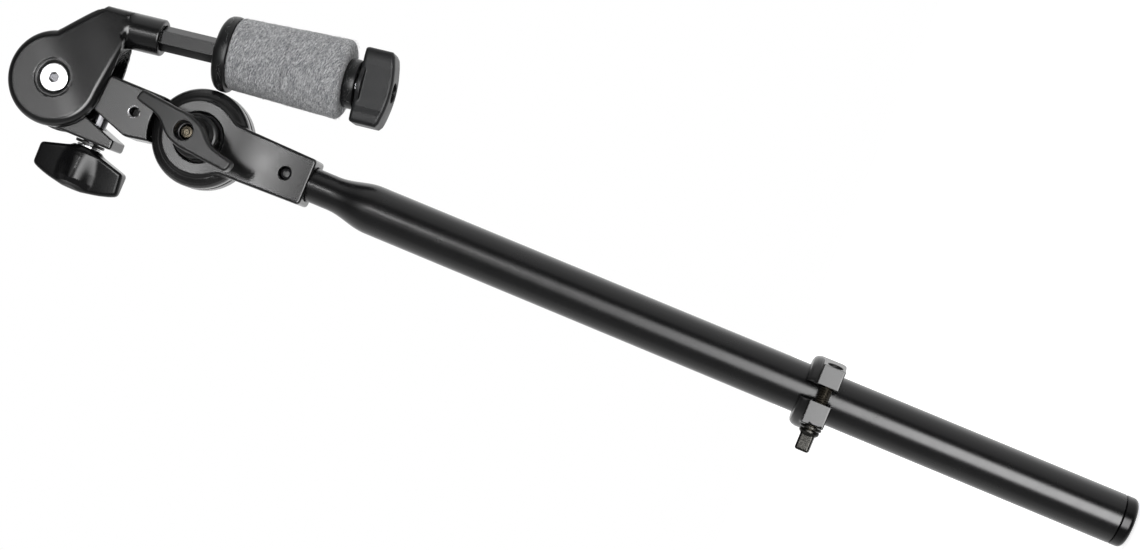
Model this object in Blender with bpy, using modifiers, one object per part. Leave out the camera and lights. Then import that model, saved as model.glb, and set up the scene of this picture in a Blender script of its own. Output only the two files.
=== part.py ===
"""Folding boom arm with a cymbal tilter, the upper section of a drum-hardware boom stand.

It is modelled folded for storage. The tube stands along +Z with the centre of its plug's end face at the
origin. Both hinges of the arm turn about Y, and the front, with the lever nut, faces -Y. Sizes and places
below are in millimetres, and each mesh is in metres.
"""

import math

import bmesh
import bpy
from mathutils import Matrix, Vector

MM = 0.001
GAP = 0.3  # between pieces that touch

# Tube and plug
TUBE_RADIUS = 11.1
TUBE_WALL = 1.6
NECK_RADIUS = 7.8
NECK_WALL = 1.5
SWAGE_BOTTOM = 354.0
SWAGE_TOP = 374.0
TUBE_TOP = 401.0
PLUG_RIM = 5.5
PLUG_ROUND = 2.4

# Boom joint, a hinge about Y that carries both discs
JOINT_Z = 437.7
DISC_RADIUS = 22.4
DISC_CLEARANCE = 0.8
RING_RADIUS = 17.2
RING_BORE = 11.0
BORE_FLOOR = -5.0
FACE = 9.5  # half depth of the bracket
DISC_FACE = 0.8  # from the middle plane to each disc
JOINT_BOLT_RADIUS = 3.0
BOLT_HOLE = 3.35

# Bracket between the tube and the joint
BRACKET_BOTTOM = 384.2
BRACKET_HALF_WIDTH = 10.7
BRACKET_FLARE = 0.028  # widening per millimetre of height
ROLL_PIN_Z = 395.4
ROLL_PIN_RADIUS = 2.5

# Tilter hub, a hinge about Y that the block's split ring clamps
HUB_Z = 507.0
HUB_BORE = 14.0
CLAMP_RADIUS = 20.3
BLOCK_FACE = 9.0  # half depth of the block and its lug
CLAMP_FACE = 8.7
CHEEK_INNER = 9.3
CHEEK_FACE = 15.0
CHEEK_RADIUS = 21.5
SCREW_HOLE = 3.4

# Tilt bolt, along X through the split
TILT_BOLT_Z = HUB_Z - 22.3
TILT_BOLT_RADIUS = 3.6
LUG_BOTTOM = -20.4

# Cymbal post: places along it are distances from the end of its boss
POST_START = (35.1, 0.0, 472.8)
POST_LEAN = math.radians(8.6)  # from -Z towards +X
HEX_FLATS = 10.0
STUD_RADIUS = 4.0
CUP_BACK = 26.8
CUP_RIM = 28.8
CUP_FRONT = 34.4
FELT_JOIN = 60.4
FELT_TOP = 86.0
FELT_HOLE = 7.4
NUT_BASE = 92.2
NUT_SHOULDER = 105.2
NUT_TOP = 108.0
STUD_END = 105.8

# Memory lock round the tube
LOCK_BOTTOM = 136.2
LOCK_TOP = 150.6
LOCK_RADIUS = 16.3
LOCK_BORE = TUBE_RADIUS + GAP
LUG_TOP_Z = 146.2
LOCK_BOLT_Z = 141.1
LOCK_BOLT_Y = -15.6
LOCK_BOLT_RADIUS = 2.9
LOCK_HINGE_Y = 17.6

# Colours, with roughness and metallic value
STEEL_BLACK = ((0.012, 0.012, 0.013, 1), 0.38, 0.9)
CAST_BLACK = ((0.035, 0.035, 0.037, 1), 0.45, 0.7)
BRIGHT_STEEL = ((0.62, 0.62, 0.63, 1), 0.22, 1.0)
GLOSS_PLASTIC = ((0.01, 0.01, 0.011, 1), 0.2, 0.0)
MATT_PLASTIC = ((0.035, 0.036, 0.038, 1), 0.6, 0.0)
FIBRE = ((0.12, 0.08, 0.05, 1), 0.8, 0.0)
WOOL = ((0.33, 0.335, 0.34, 1), 0.95, 0.0)

FRONT = (0, -1, 0)
UP = (0, 0, 1)
POST_AXIS = (math.sin(POST_LEAN), 0, -math.cos(POST_LEAN))
POST_SIDE = (math.cos(POST_LEAN), 0, math.sin(POST_LEAN))


def clear_scene():
    for obj in list(bpy.data.objects):
        bpy.data.objects.remove(obj, do_unlink=True)


def new_collection(name):
    collection = bpy.data.collections.new(name)
    bpy.context.scene.collection.children.link(collection)
    return collection


def aim(axis):
    """Rotation with local Z along the axis; on an axis towards the front, local X and Y are world X and Z."""
    z = Vector(axis).normalized()
    side = Vector((0, 0, 1)) if abs(z.y) > 0.9 else Vector((0, 1, 0))
    x = side.cross(z).normalized()
    return Matrix((x, z.cross(x), z)).transposed().to_4x4()


def place(obj, origin, axis):
    obj.matrix_world = Matrix.Translation(Vector(origin) * MM) @ aim(axis)
    return obj


def object_from(name, bm):
    mesh = bpy.data.meshes.new(name)
    bm.to_mesh(mesh)
    bm.free()
    obj = bpy.data.objects.new(name, mesh)
    CUTTERS.objects.link(obj)
    return obj


def turned(name, profile, origin=(0, 0, 0), axis=UP, steps=40, ring=False):
    """A solid of revolution from (radius, height) points down its outer side; a ring's profile is closed."""
    bm = bmesh.new()
    verts = [bm.verts.new((radius * MM, 0, height * MM)) for radius, height in profile]
    for start, end in zip(verts, verts[1:] + verts[:1] if ring else verts[1:]):
        bm.edges.new((start, end))
    obj = place(object_from(name, bm), origin, axis)
    screw = obj.modifiers.new("Turn", "SCREW")
    screw.steps = screw.render_steps = steps
    screw.use_merge_vertices = True
    screw.merge_threshold = 1e-6
    return obj


def tube_ring(name, outer, inner, low, high, origin, axis, steps=24, edge=0.25):
    """A washer, bush or sleeve with its outer edges broken."""
    profile = [(inner, high), (outer - edge, high), (outer, high - edge), (outer, low + edge)]
    profile += [(outer - edge, low), (inner, low)]
    return turned(name, profile, origin, axis, steps, ring=True)


def prism(name, radius, origin, axis, low, high, sides=32, spin=0.0, end_radius=None):
    """A cylinder, cone or polygon prism between two heights along an axis."""
    bm = bmesh.new()
    turn = Matrix.Translation((0, 0, (low + high) / 2 * MM)) @ Matrix.Rotation(spin, 4, "Z")
    top = radius if end_radius is None else end_radius
    sizes = {"radius1": radius * MM, "radius2": top * MM, "depth": (high - low) * MM}
    bmesh.ops.create_cone(bm, cap_ends=True, segments=sides, matrix=turn, **sizes)
    return place(object_from(name, bm), origin, axis)


def box(name, low, high, origin=(0, 0, 0), lean=0.0):
    """A box between two corners, turned about Y by lean at its origin."""
    bm = bmesh.new()
    size = [(b - a) * MM for a, b in zip(low, high)]
    middle = [(a + b) / 2 * MM for a, b in zip(low, high)]
    bmesh.ops.create_cube(bm, size=1, matrix=Matrix.Translation(middle) @ Matrix.Diagonal((*size, 1)))
    obj = object_from(name, bm)
    obj.matrix_world = Matrix.Translation(Vector(origin) * MM) @ Matrix.Rotation(lean, 4, "Y")
    return obj


def arc(centre, radius, start, end, steps):
    """Points of an arc, with its angles in degrees."""
    angles = [math.radians(start + (end - start) * i / steps) for i in range(steps + 1)]
    return [(centre[0] + radius * math.cos(a), centre[1] + radius * math.sin(a)) for a in angles]


def rounded(corners, steps=4):
    """An outline whose corners, each (x, y, radius), are rounded by arcs."""
    points = []
    for i, (x, y, radius) in enumerate(corners):
        here = Vector((x, y))
        before = (Vector(corners[i - 1][:2]) - here).normalized()
        after = (Vector(corners[(i + 1) % len(corners)][:2]) - here).normalized()
        if not radius:
            points.append((x, y))
            continue
        half = before.angle(after) / 2
        reach = radius / math.tan(half)
        for step in range(steps + 1):
            t = step / steps
            start, end = here + before * reach, here + after * reach
            points.append(tuple(start.lerp(here, t).lerp(here.lerp(end, t), t)))
    return points


def mesh_of(curve_object):
    """The curve's evaluated mesh with its caps welded, in a new object, with the curve removed."""
    bpy.context.view_layer.update()
    evaluated = curve_object.evaluated_get(bpy.context.evaluated_depsgraph_get())
    mesh = bpy.data.meshes.new_from_object(evaluated)
    name, matrix = curve_object.name, curve_object.matrix_world.copy()
    bpy.data.objects.remove(curve_object, do_unlink=True)
    bm = bmesh.new()
    bm.from_mesh(mesh)
    bmesh.ops.remove_doubles(bm, verts=bm.verts, dist=1e-6)
    bmesh.ops.recalc_face_normals(bm, faces=bm.faces)
    obj = object_from(name, bm)
    obj.matrix_world = matrix
    return obj


def plate(name, outline, low, high, origin=(0, 0, 0), axis=FRONT, edge=0.0, smooth=False):
    """A flat outline extruded between two heights along an axis, with its edges rounded."""
    curve = bpy.data.curves.new(name, "CURVE")
    curve.dimensions = "2D"
    curve.fill_mode = "BOTH"
    curve.extrude = ((high - low) / 2 - edge) * MM
    curve.bevel_depth = edge * MM
    curve.bevel_resolution = 1
    curve.offset = -edge * MM
    curve.resolution_u = 2
    spline = curve.splines.new("BEZIER" if smooth else "POLY")
    points = spline.bezier_points if smooth else spline.points
    points.add(len(outline) - 1)
    for point, (x, y) in zip(points, outline):
        if smooth:
            point.co = (x * MM, y * MM, 0)
            point.handle_left_type = point.handle_right_type = "AUTO"
        else:
            point.co = (x * MM, y * MM, 0, 1)
    spline.use_cyclic_u = True
    obj = bpy.data.objects.new(name, curve)
    CUTTERS.objects.link(obj)
    middle = Vector(origin) + Vector(axis) * (low + high) / 2
    return mesh_of(place(obj, middle, axis))


def boolean(target, operation, *others):
    for other in others:
        modifier = target.modifiers.new(f"{operation.title()} {other.name}", "BOOLEAN")
        modifier.operation = operation
        modifier.solver = "EXACT"
        modifier.object = other
        other.hide_render = True
        other.display_type = "WIRE"
    return target


def cut(target, *others):
    return boolean(target, "DIFFERENCE", *others)


def join(target, *others):
    return boolean(target, "UNION", *others)


def soften(obj, width, segments=2, angle=40):
    bevel = obj.modifiers.new("Edges", "BEVEL")
    bevel.width = width * MM
    bevel.segments = segments
    bevel.limit_method = "ANGLE"
    bevel.angle_limit = math.radians(angle)
    return obj


def coil(name, radius, wire, low, high, turns, origin, axis):
    """A helical spring as one bevelled curve."""
    curve = bpy.data.curves.new(name, "CURVE")
    curve.dimensions = "3D"
    curve.bevel_depth = wire / 2 * MM
    curve.bevel_resolution = 1
    curve.use_fill_caps = True
    spline = curve.splines.new("POLY")
    count = turns * 12
    spline.points.add(count)
    for i, point in enumerate(spline.points):
        angle = 2 * math.pi * turns * i / count
        height = low + wire / 2 + (high - low - wire) * i / count
        point.co = (radius * math.cos(angle) * MM, radius * math.sin(angle) * MM, height * MM, 1)
    obj = bpy.data.objects.new(name, curve)
    CUTTERS.objects.link(obj)
    return place(obj, origin, axis)


def material(name, look):
    colour, roughness, metallic = look
    made = bpy.data.materials.new(name)
    made.use_nodes = True
    shader = made.node_tree.nodes["Principled BSDF"]
    shader.inputs["Base Color"].default_value = colour
    shader.inputs["Roughness"].default_value = roughness
    shader.inputs["Metallic"].default_value = metallic
    made.diffuse_color = colour
    return made


def part(obj, look, pivot=None):
    """Makes the object a sub-part: its own material, smooth shading, and the pivot that it moves with."""
    CUTTERS.objects.unlink(obj)
    PARTS.objects.link(obj)
    obj.data.materials.clear()
    obj.data.materials.append(material(obj.name, look))
    if obj.type == "MESH" and obj.data.polygons:
        obj.data.shade_smooth()
        obj.data.set_sharp_from_angle(angle=math.radians(35))
    for modifier in obj.modifiers:
        if modifier.type == "SCREW":
            modifier.use_smooth_shade = True
    if pivot:
        obj.parent = pivot
        obj.matrix_parent_inverse = Matrix.Translation(-pivot.location)
    return obj


def pivot_at(name, place_mm, parent=None):
    """An empty on a joint's axis."""
    empty = bpy.data.objects.new(name, None)
    PARTS.objects.link(empty)
    empty.location = Vector(place_mm) * MM
    empty.empty_display_size = 0.02
    if parent:
        empty.parent = parent
        empty.matrix_parent_inverse = Matrix.Translation(-parent.location)
    return empty


def on_post(distance, side=0.0):
    """A point on the cymbal post's axis, or beside it."""
    return Vector(POST_START) + Vector(POST_AXIS) * distance + Vector(POST_SIDE) * side


def swage(low_radius, high_radius, steps=7):
    """(radius, height) points of a smooth neck, from its top down."""
    points = []
    for i in range(steps + 1):
        t = i / steps
        ease = (1 - math.cos(math.pi * t)) / 2
        radius = high_radius + (low_radius - high_radius) * ease
        points.append((radius, SWAGE_TOP + (SWAGE_BOTTOM - SWAGE_TOP) * t))
    return points


# Tube


def make_tube():
    outer = [(NECK_RADIUS, TUBE_TOP), *swage(TUBE_RADIUS, NECK_RADIUS), (TUBE_RADIUS, PLUG_RIM + GAP)]
    bore = TUBE_RADIUS - TUBE_WALL
    inner = swage(bore, NECK_RADIUS - NECK_WALL, steps=3)[::-1]
    profile = outer + [(bore, PLUG_RIM + GAP), *inner, (NECK_RADIUS - NECK_WALL, TUBE_TOP)]
    tube = turned("post_tube", profile, steps=38, ring=True)
    pin_hole = prism("tube_pin_hole", ROLL_PIN_RADIUS + GAP, (0, 0, ROLL_PIN_Z), FRONT, -20, 20, sides=20)
    cut(tube, pin_hole)
    part(tube, STEEL_BLACK)


def make_plug():
    spigot = TUBE_RADIUS - TUBE_WALL - GAP
    corner = arc((TUBE_RADIUS - PLUG_ROUND, PLUG_ROUND), PLUG_ROUND, 0, -90, 4)
    profile = [(0, 7), (spigot - 2, 7), (spigot - 2, 20), (spigot - 0.8, 20.6), (spigot, 20)]
    profile += [(spigot, PLUG_RIM), (TUBE_RADIUS, PLUG_RIM), *corner, (0, 0)]
    part(turned("tube_end_plug", profile, steps=40), GLOSS_PLASTIC)


# Bracket and boom joint


def bracket_outline():
    """The arm runs smoothly into the ring: its half width is a soft maximum of the two."""
    points = [(BRACKET_HALF_WIDTH - 1.6, BRACKET_BOTTOM), (BRACKET_HALF_WIDTH - 0.5, BRACKET_BOTTOM + 0.5)]
    blend = 10
    steps = 17
    top = JOINT_Z - 3
    for i in range(steps + 1):
        z = BRACKET_BOTTOM + 1.6 + (top - BRACKET_BOTTOM - 1.6) * i / steps
        arm = BRACKET_HALF_WIDTH + BRACKET_FLARE * (z - BRACKET_BOTTOM)
        ring = math.sqrt(max(RING_RADIUS**2 - (z - JOINT_Z) ** 2, 0))
        points.append(((arm**blend + ring**blend) ** (1 / blend), z))
    start = math.degrees(math.atan2(top - JOINT_Z, points[-1][0]))
    over = arc((0, JOINT_Z), RING_RADIUS, start, 180 - start, 26)
    return points[:-1] + over + [(-x, z) for x, z in points[-2::-1]]


def make_bracket():
    joint = (0, 0, JOINT_Z)
    bracket = plate("tube_bracket", bracket_outline(), -FACE, FACE, edge=0.9)
    behind = prism("behind_disc", DISC_RADIUS + DISC_CLEARANCE, joint, FRONT, -12, DISC_FACE + 0.2, sides=48)
    cut(bracket, behind)
    rim = [(0, FACE - 1.2), (RING_RADIUS - 0.6, FACE - 1.2), (RING_RADIUS + 1.4, FACE - 2.0)]
    rim += [(DISC_RADIUS - 0.5, 6.2), (DISC_RADIUS, 5.6), (DISC_RADIUS, DISC_FACE), (0, DISC_FACE)]
    join(bracket, turned("front_disc", rim, joint, FRONT, steps=48))
    socket_depth = TUBE_TOP + GAP - BRACKET_BOTTOM
    pin_centre = (0, 0, ROLL_PIN_Z)
    cut(
        bracket,
        prism("ring_bore", RING_BORE, joint, FRONT, -BORE_FLOOR, 12, sides=36),
        prism("bracket_bolt_hole", BOLT_HOLE, joint, FRONT, -2, 12, sides=20),
        prism("neck_socket", NECK_RADIUS + GAP, (0, 0, BRACKET_BOTTOM), UP, -5, socket_depth, sides=36),
        prism("bracket_pin_hole", ROLL_PIN_RADIUS + GAP, pin_centre, FRONT, -20, 20, sides=20),
    )
    part(bracket, CAST_BLACK)
    pin = tube_ring("bracket_roll_pin", ROLL_PIN_RADIUS, 1.4, -8.2, 8.0, pin_centre, FRONT, steps=16)
    part(pin, BRIGHT_STEEL)


def make_joint_hardware(block_pivot, lever_pivot):
    joint = (0, 0, JOINT_Z)
    head = [(0, -9.6 - 3.2), (4.5, -9.6 - 3.0), (7.4, -9.6 - 1.6), (8.0, -9.6), (JOINT_BOLT_RADIUS, -9.6)]
    shank = [(JOINT_BOLT_RADIUS, 31.6), (JOINT_BOLT_RADIUS - 0.7, 32.3), (0, 32.3)]
    bolt = turned("joint_bolt", (head + shank)[::-1], joint, FRONT, steps=24)
    neck = prism("bolt_neck", 3.4 * math.sqrt(2), joint, FRONT, -10.2, -6.9, sides=4, spin=math.pi / 4)
    part(join(bolt, neck), BRIGHT_STEEL, block_pivot)
    part(coil("joint_spring", 4.6, 1.0, -5.6, 0.4, 3, joint, FRONT), BRIGHT_STEEL, block_pivot)
    friction = tube_ring("joint_friction_washer", 20.5, 7.0, -0.5, 0.5, joint, FRONT, steps=28)
    part(friction, FIBRE, block_pivot)
    flat = tube_ring("joint_flat_washer", 9.6, BOLT_HOLE, 5.3, 6.9, joint, FRONT, steps=24)
    part(flat, BRIGHT_STEEL)
    part(make_lever(joint), CAST_BLACK, lever_pivot)


def make_lever(joint):
    """The lever nut: a flange that enters the ring's bore, a waisted hub and two S-shaped arms."""
    hub = [(0, 36.0), (6.0, 36.0), (7.0, 35.0), (7.2, 30.0), (6.9, 22.0), (7.4, 17.5), (8.4, 15.8)]
    hub += [(9.4, 15.4), (10.1, 14.4), (10.1, 8.2), (9.4, 7.3), (0, 7.3)]
    lever = turned("joint_lever_nut", hub, joint, FRONT, steps=32)
    side = [(0, 7.1), (4, 6.9), (8, 5.95), (13.5, 5.0), (19, 3.8), (23.2, 2.9), (25.3, 0.8)]
    side += [(25.2, -1.6), (23.4, -2.6), (19, -2.4), (14.5, -2.4), (10.8, -3.3), (7.5, -5.1), (4, -6.7)]
    swing = math.radians(90 - 17)
    outline = []
    for along, across in side + [(-u, -v) for u, v in side]:
        x = along * math.cos(swing) + across * math.sin(swing)
        z = along * math.sin(swing) - across * math.cos(swing)
        outline.append((x, z))
    arms = plate("lever_arms", outline[::-1], 26.0, 33.2, joint, edge=1.3, smooth=True)
    join(lever, arms)
    cut(
        lever,
        prism("lever_bolt_hole", BOLT_HOLE, joint, FRONT, 0, 40, sides=24),
        prism("lever_recess", 4.15, joint, FRONT, 27, 40, sides=24),
    )
    return lever


# Block with its split clamp ring


def make_block(pivot):
    joint, hub = (0, 0, JOINT_Z), (0, 0, HUB_Z)
    outline = [(10.9, JOINT_Z + 8, 0), (10.9, HUB_Z - 22.5, 1.2), (7.5, HUB_Z - 16, 0), (-6.0, HUB_Z - 10, 0)]
    outline += [(LUG_BOTTOM, HUB_Z, 0), (LUG_BOTTOM, HUB_Z - 34.6, 1.0), (-15.7, HUB_Z - 34.6, 0)]
    outline += [(-12.6, HUB_Z - 36.4, 1.0), (-10.2, JOINT_Z + 20, 0), (-9.5, JOINT_Z + 8, 0)]
    block = plate("boom_block", rounded(outline), -BLOCK_FACE, BLOCK_FACE, edge=1.0)
    before = -DISC_FACE - 0.2
    cut(block, prism("before_disc", DISC_RADIUS + DISC_CLEARANCE, joint, FRONT, before, 12, sides=48))
    join(block, prism("clamp_ring", CLAMP_RADIUS, hub, FRONT, -CLAMP_FACE, CLAMP_FACE, sides=48))
    rim = [(0, -DISC_FACE), (DISC_RADIUS, -DISC_FACE), (DISC_RADIUS, -7.4), (DISC_RADIUS - 1.2, -8.6)]
    rim += [(0, -8.6)]
    join(block, turned("rear_disc", rim, joint, FRONT, steps=44))
    bolt_way = [(0, 2), (5.9, 2), (5.9, -6), (BOLT_HOLE, -6), (BOLT_HOLE, -12), (0, -12)]
    lean = math.atan2(4.7, 13.8)
    cut(
        block,
        prism("clamp_bore", HUB_BORE, hub, FRONT, -15, 15, sides=36),
        box("clamp_slit", (-2.3, -15, -30), (2.3, 15, 11), (-9.7, 0, HUB_Z - 23.2), lean),
        turned("spring_pocket_and_bolt_hole", bolt_way, joint, FRONT, steps=24),
        prism("square_neck_hole", 3.7 * math.sqrt(2), joint, FRONT, -13, -6.4, sides=4, spin=math.pi / 4),
        prism("tilt_bolt_hole", TILT_BOLT_RADIUS + GAP, (0, 0, TILT_BOLT_Z), (-1, 0, 0), -6, 30, sides=24),
        prism("small_front_hole", 2.1, (-0.5, 0, JOINT_Z + 31.3), FRONT, 3, 12, sides=20),
    )
    part(block, CAST_BLACK, pivot)


def make_tilt_bolt(wing_pivot, block_pivot):
    start, axis = (0, 0, TILT_BOLT_Z), (-1, 0, 0)
    spacer = tube_ring("tilt_spacer", 6.7, TILT_BOLT_RADIUS + GAP, 20.7, 22.0, start, axis)
    part(spacer, CAST_BLACK, block_pivot)
    washer = tube_ring("tilt_washer", 5.4, TILT_BOLT_RADIUS + GAP, 22.3, 23.3, start, axis)
    part(washer, BRIGHT_STEEL, wing_pivot)
    stud = [(0, 36), (TILT_BOLT_RADIUS, 36), (TILT_BOLT_RADIUS, -3), (TILT_BOLT_RADIUS - 0.8, -4), (0, -4)]
    part(turned("tilt_bolt_stud", stud, start, axis, steps=20), BRIGHT_STEEL, wing_pivot)
    hub = [(0, 43.2), (5.5, 43.0), (7.2, 41.0), (7.6, 32.0), (7.2, 26.0), (6.7, 24.6), (6.5, 23.6), (0, 23.6)]
    wing = turned("tilt_wing", hub, start, axis, steps=32)
    half = [(0, 24.9, 0), (8, 25.6, 6), (20.6, 28.4, 2.0), (20.9, 39.0, 2.5)]
    angles = [math.pi * i / 10 for i in range(2, 9)]
    belly = [(20.9 * math.cos(angle), 39.0 + 4.2 * math.sin(angle)) for angle in angles]
    top = rounded([(-z, x, r) for z, x, r in half[:0:-1]] + half[1:])
    outline = [(x, z) for x, z in top] + [(z, x) for z, x in belly]
    blade = plate("wing_blade", [(-x, z) for z, x in outline], -5.0, 5.0, (0, 0, TILT_BOLT_Z), edge=1.6)
    join(wing, blade)
    cut(wing, prism("wing_stud_hole", TILT_BOLT_RADIUS + GAP, start, axis, 15, 36.3, sides=24))
    part(wing, GLOSS_PLASTIC, wing_pivot)


# Tilter head


def cheek_outline(waist):
    """A round end about the hub that runs into the post's boss; waist is its lower edge's height there."""
    hub = (0, HUB_Z)
    round_end = arc(hub, CHEEK_RADIUS, 46, 272, 24)
    tail = [(26.0, HUB_Z + waist + 0.6, 0), (36.6, HUB_Z - 26.6, 2.5), (40.9, HUB_Z - 21.0, 2.0)]
    tail += [(38.7, HUB_Z - 8.8, 9.0), (15.0, HUB_Z + 14.7, 0)]
    return round_end + rounded(tail)[:-1]


def make_head(pivot):
    hub = (0, 0, HUB_Z)
    head = plate("tilter_head", cheek_outline(-25.4), CHEEK_INNER, CHEEK_FACE, edge=1.8)
    rear = plate("rear_cheek", cheek_outline(-21.6), -CHEEK_FACE, -CHEEK_INNER, edge=1.8)
    inner = arc((0, HUB_Z), CLAMP_RADIUS + 1.2, 30, -22, 8)
    web = [*inner, (27.5, HUB_Z - 22.0), (39.0, HUB_Z - 22.0), (37.6, HUB_Z - 8.6), (27.0, HUB_Z + 2.0)]
    bridge = plate("head_bridge", web[::-1], -CHEEK_INNER - 1.5, CHEEK_INNER + 1.5)
    boss = [(0, -16), (6.0, -16), (7.7, -14), (7.7, -0.2), (6.9, 0.6), (0, 0.6)]
    join(head, bridge, rear, turned("post_boss", boss[::-1], POST_START, POST_AXIS, steps=36))
    recess = prism("screw_recess", 9.0, hub, FRONT, CHEEK_FACE - 0.8, 20, sides=36)
    sink = prism("countersink", SCREW_HOLE, hub, FRONT, 9.9, 14.7, sides=36, end_radius=7.6)
    hexagon = (HEX_FLATS / 2 + GAP) / math.cos(math.pi / 6)
    cut(
        head,
        recess,
        sink,
        prism("screw_hole", SCREW_HOLE, hub, FRONT, -20, 20, sides=24),
        prism("nut_trap", 5.3 / math.cos(math.pi / 6), hub, FRONT, -20, -CHEEK_INNER - 1.4, sides=6),
        prism("hex_socket", hexagon, POST_START, POST_AXIS, -11.5, 5, sides=6, spin=math.pi / 6),
    )
    part(head, CAST_BLACK, pivot)


def make_hub_hardware(pivot):
    hub = (0, 0, HUB_Z)
    sleeve = tube_ring("hub_sleeve", HUB_BORE - GAP, SCREW_HOLE, -9.0, 9.0, hub, FRONT, steps=28)
    part(sleeve, BRIGHT_STEEL, pivot)
    top = CHEEK_FACE - 0.6
    screw = [(0, top), (6.2, top), (6.5, top - 0.3), (6.5, top - 0.9), (3.0, top - 4.1)]
    screw += [(3.0, -14.4), (0, -14.4)]
    screw = turned("pivot_screw", screw, hub, FRONT, steps=36)
    cut(screw, prism("hex_key_socket", 2.0 / math.cos(math.pi / 6), hub, FRONT, top - 2.6, 20, sides=6))
    part(screw, BRIGHT_STEEL, pivot)
    nut = prism("pivot_nut", 5.0 / math.cos(math.pi / 6), hub, FRONT, -15.6, -CHEEK_INNER - 1.7, sides=6)
    cut(nut, prism("pivot_nut_bore", 3.3, hub, FRONT, -20, 0, sides=24))
    part(nut, BRIGHT_STEEL, pivot)


# Cymbal post


def make_post(pivot):
    hexagon = HEX_FLATS / 2 / math.cos(math.pi / 6)
    inner = STUD_RADIUS + GAP
    spin = math.pi / 6
    post = prism("cymbal_post", hexagon, POST_START, POST_AXIS, -11.0, CUP_BACK + 4.4, sides=6, spin=spin)
    stud = [(0, STUD_END), (STUD_RADIUS - 0.7, STUD_END), (STUD_RADIUS, STUD_END - 0.8)]
    stud += [(STUD_RADIUS, 20), (0, 20)]
    part(join(post, turned("post_stud", stud, POST_START, POST_AXIS, steps=24)), STEEL_BLACK, pivot)
    low, high = CUP_FRONT + GAP, FELT_TOP - 0.5
    sleeve = tube_ring("post_sleeve", 5.6, inner, low, high, POST_START, POST_AXIS, steps=24)
    part(sleeve, MATT_PLASTIC, pivot)
    cup = [(6.4, CUP_BACK), (9.0, CUP_BACK), (15.2, CUP_RIM), (16.8, CUP_RIM + 1.2), (17.2, CUP_RIM + 2.2)]
    cup += [(17.2, CUP_FRONT - 0.9), (16.2, CUP_FRONT), (inner, CUP_FRONT), (inner, CUP_BACK + 4.7)]
    cup += [(6.4, CUP_BACK + 4.7)]
    cup = turned("seat_cup", cup[::-1], POST_START, POST_AXIS, steps=38, ring=True)
    part(cup, MATT_PLASTIC, pivot)


def make_felt(name, low, high, radius, shift, pivot):
    """A wool felt washer with soft corners, hanging a little to one side of the sleeve inside it."""
    corner = 2.2
    side = radius - 0.6
    profile = [(FELT_HOLE, high), (radius - corner, high), (side, high - 0.7), (radius, high - corner)]
    profile += [(radius, low + corner), (side, low + 0.7), (radius - corner, low), (FELT_HOLE, low)]
    start = Vector(POST_START) + Vector(POST_SIDE) * shift
    part(turned(name, profile, start, POST_AXIS, steps=36, ring=True), WOOL, pivot)


def make_wing_nut(slide_pivot, spin_pivot):
    inner = STUD_RADIUS + GAP
    shoulder = FELT_TOP + GAP + 1.4
    collar = [(inner, FELT_TOP + GAP), (10.4, FELT_TOP + GAP), (11.2, shoulder), (11.2, NUT_BASE - 1.0)]
    collar += [(10.6, NUT_BASE - GAP), (7.6, NUT_BASE - GAP), (7.6, FELT_TOP + 2.3), (inner, FELT_TOP + 2.3)]
    collar = turned("nut_collar", collar[::-1], POST_START, POST_AXIS, steps=30, ring=True)
    part(collar, MATT_PLASTIC, slide_pivot)
    spring = coil("nut_spring", 6.2, 0.8, FELT_TOP + 2.6, NUT_BASE - GAP, 3, POST_START, POST_AXIS)
    part(spring, BRIGHT_STEEL, slide_pivot)
    half = 17.2
    rise = NUT_TOP - NUT_SHOULDER
    dome = [(half * i / 8, NUT_TOP - rise * (i / 8) ** 2) for i in range(-7, 8)]
    slab = [(half, NUT_SHOULDER - 0.8), (half - 0.3, NUT_BASE + 0.6), (half - 1.2, NUT_BASE)]
    outline = slab + [(-x, y) for x, y in slab[::-1]] + dome
    origin = Vector(POST_START)
    points = []
    for across, along in outline:
        spot = origin + Vector(POST_AXIS) * along + Vector(POST_SIDE) * across
        points.append((spot.x, spot.z))
    nut = plate("cymbal_wing_nut", points, -7.2, 7.2, edge=1.5)
    cut(
        nut,
        prism("nut_insert_hole", 6.9, POST_START, POST_AXIS, 80, NUT_SHOULDER - 1.0, sides=32),
        prism("nut_rod_hole", STUD_RADIUS + 0.5, POST_START, POST_AXIS, 80, 130, sides=24),
    )
    part(nut, MATT_PLASTIC, spin_pivot)
    low, high = NUT_BASE + 0.4, NUT_SHOULDER - 1.4
    insert = tube_ring("nut_insert", 6.6, inner, low, high, POST_START, POST_AXIS, steps=24)
    part(insert, BRIGHT_STEEL, spin_pivot)


# Memory lock


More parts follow.
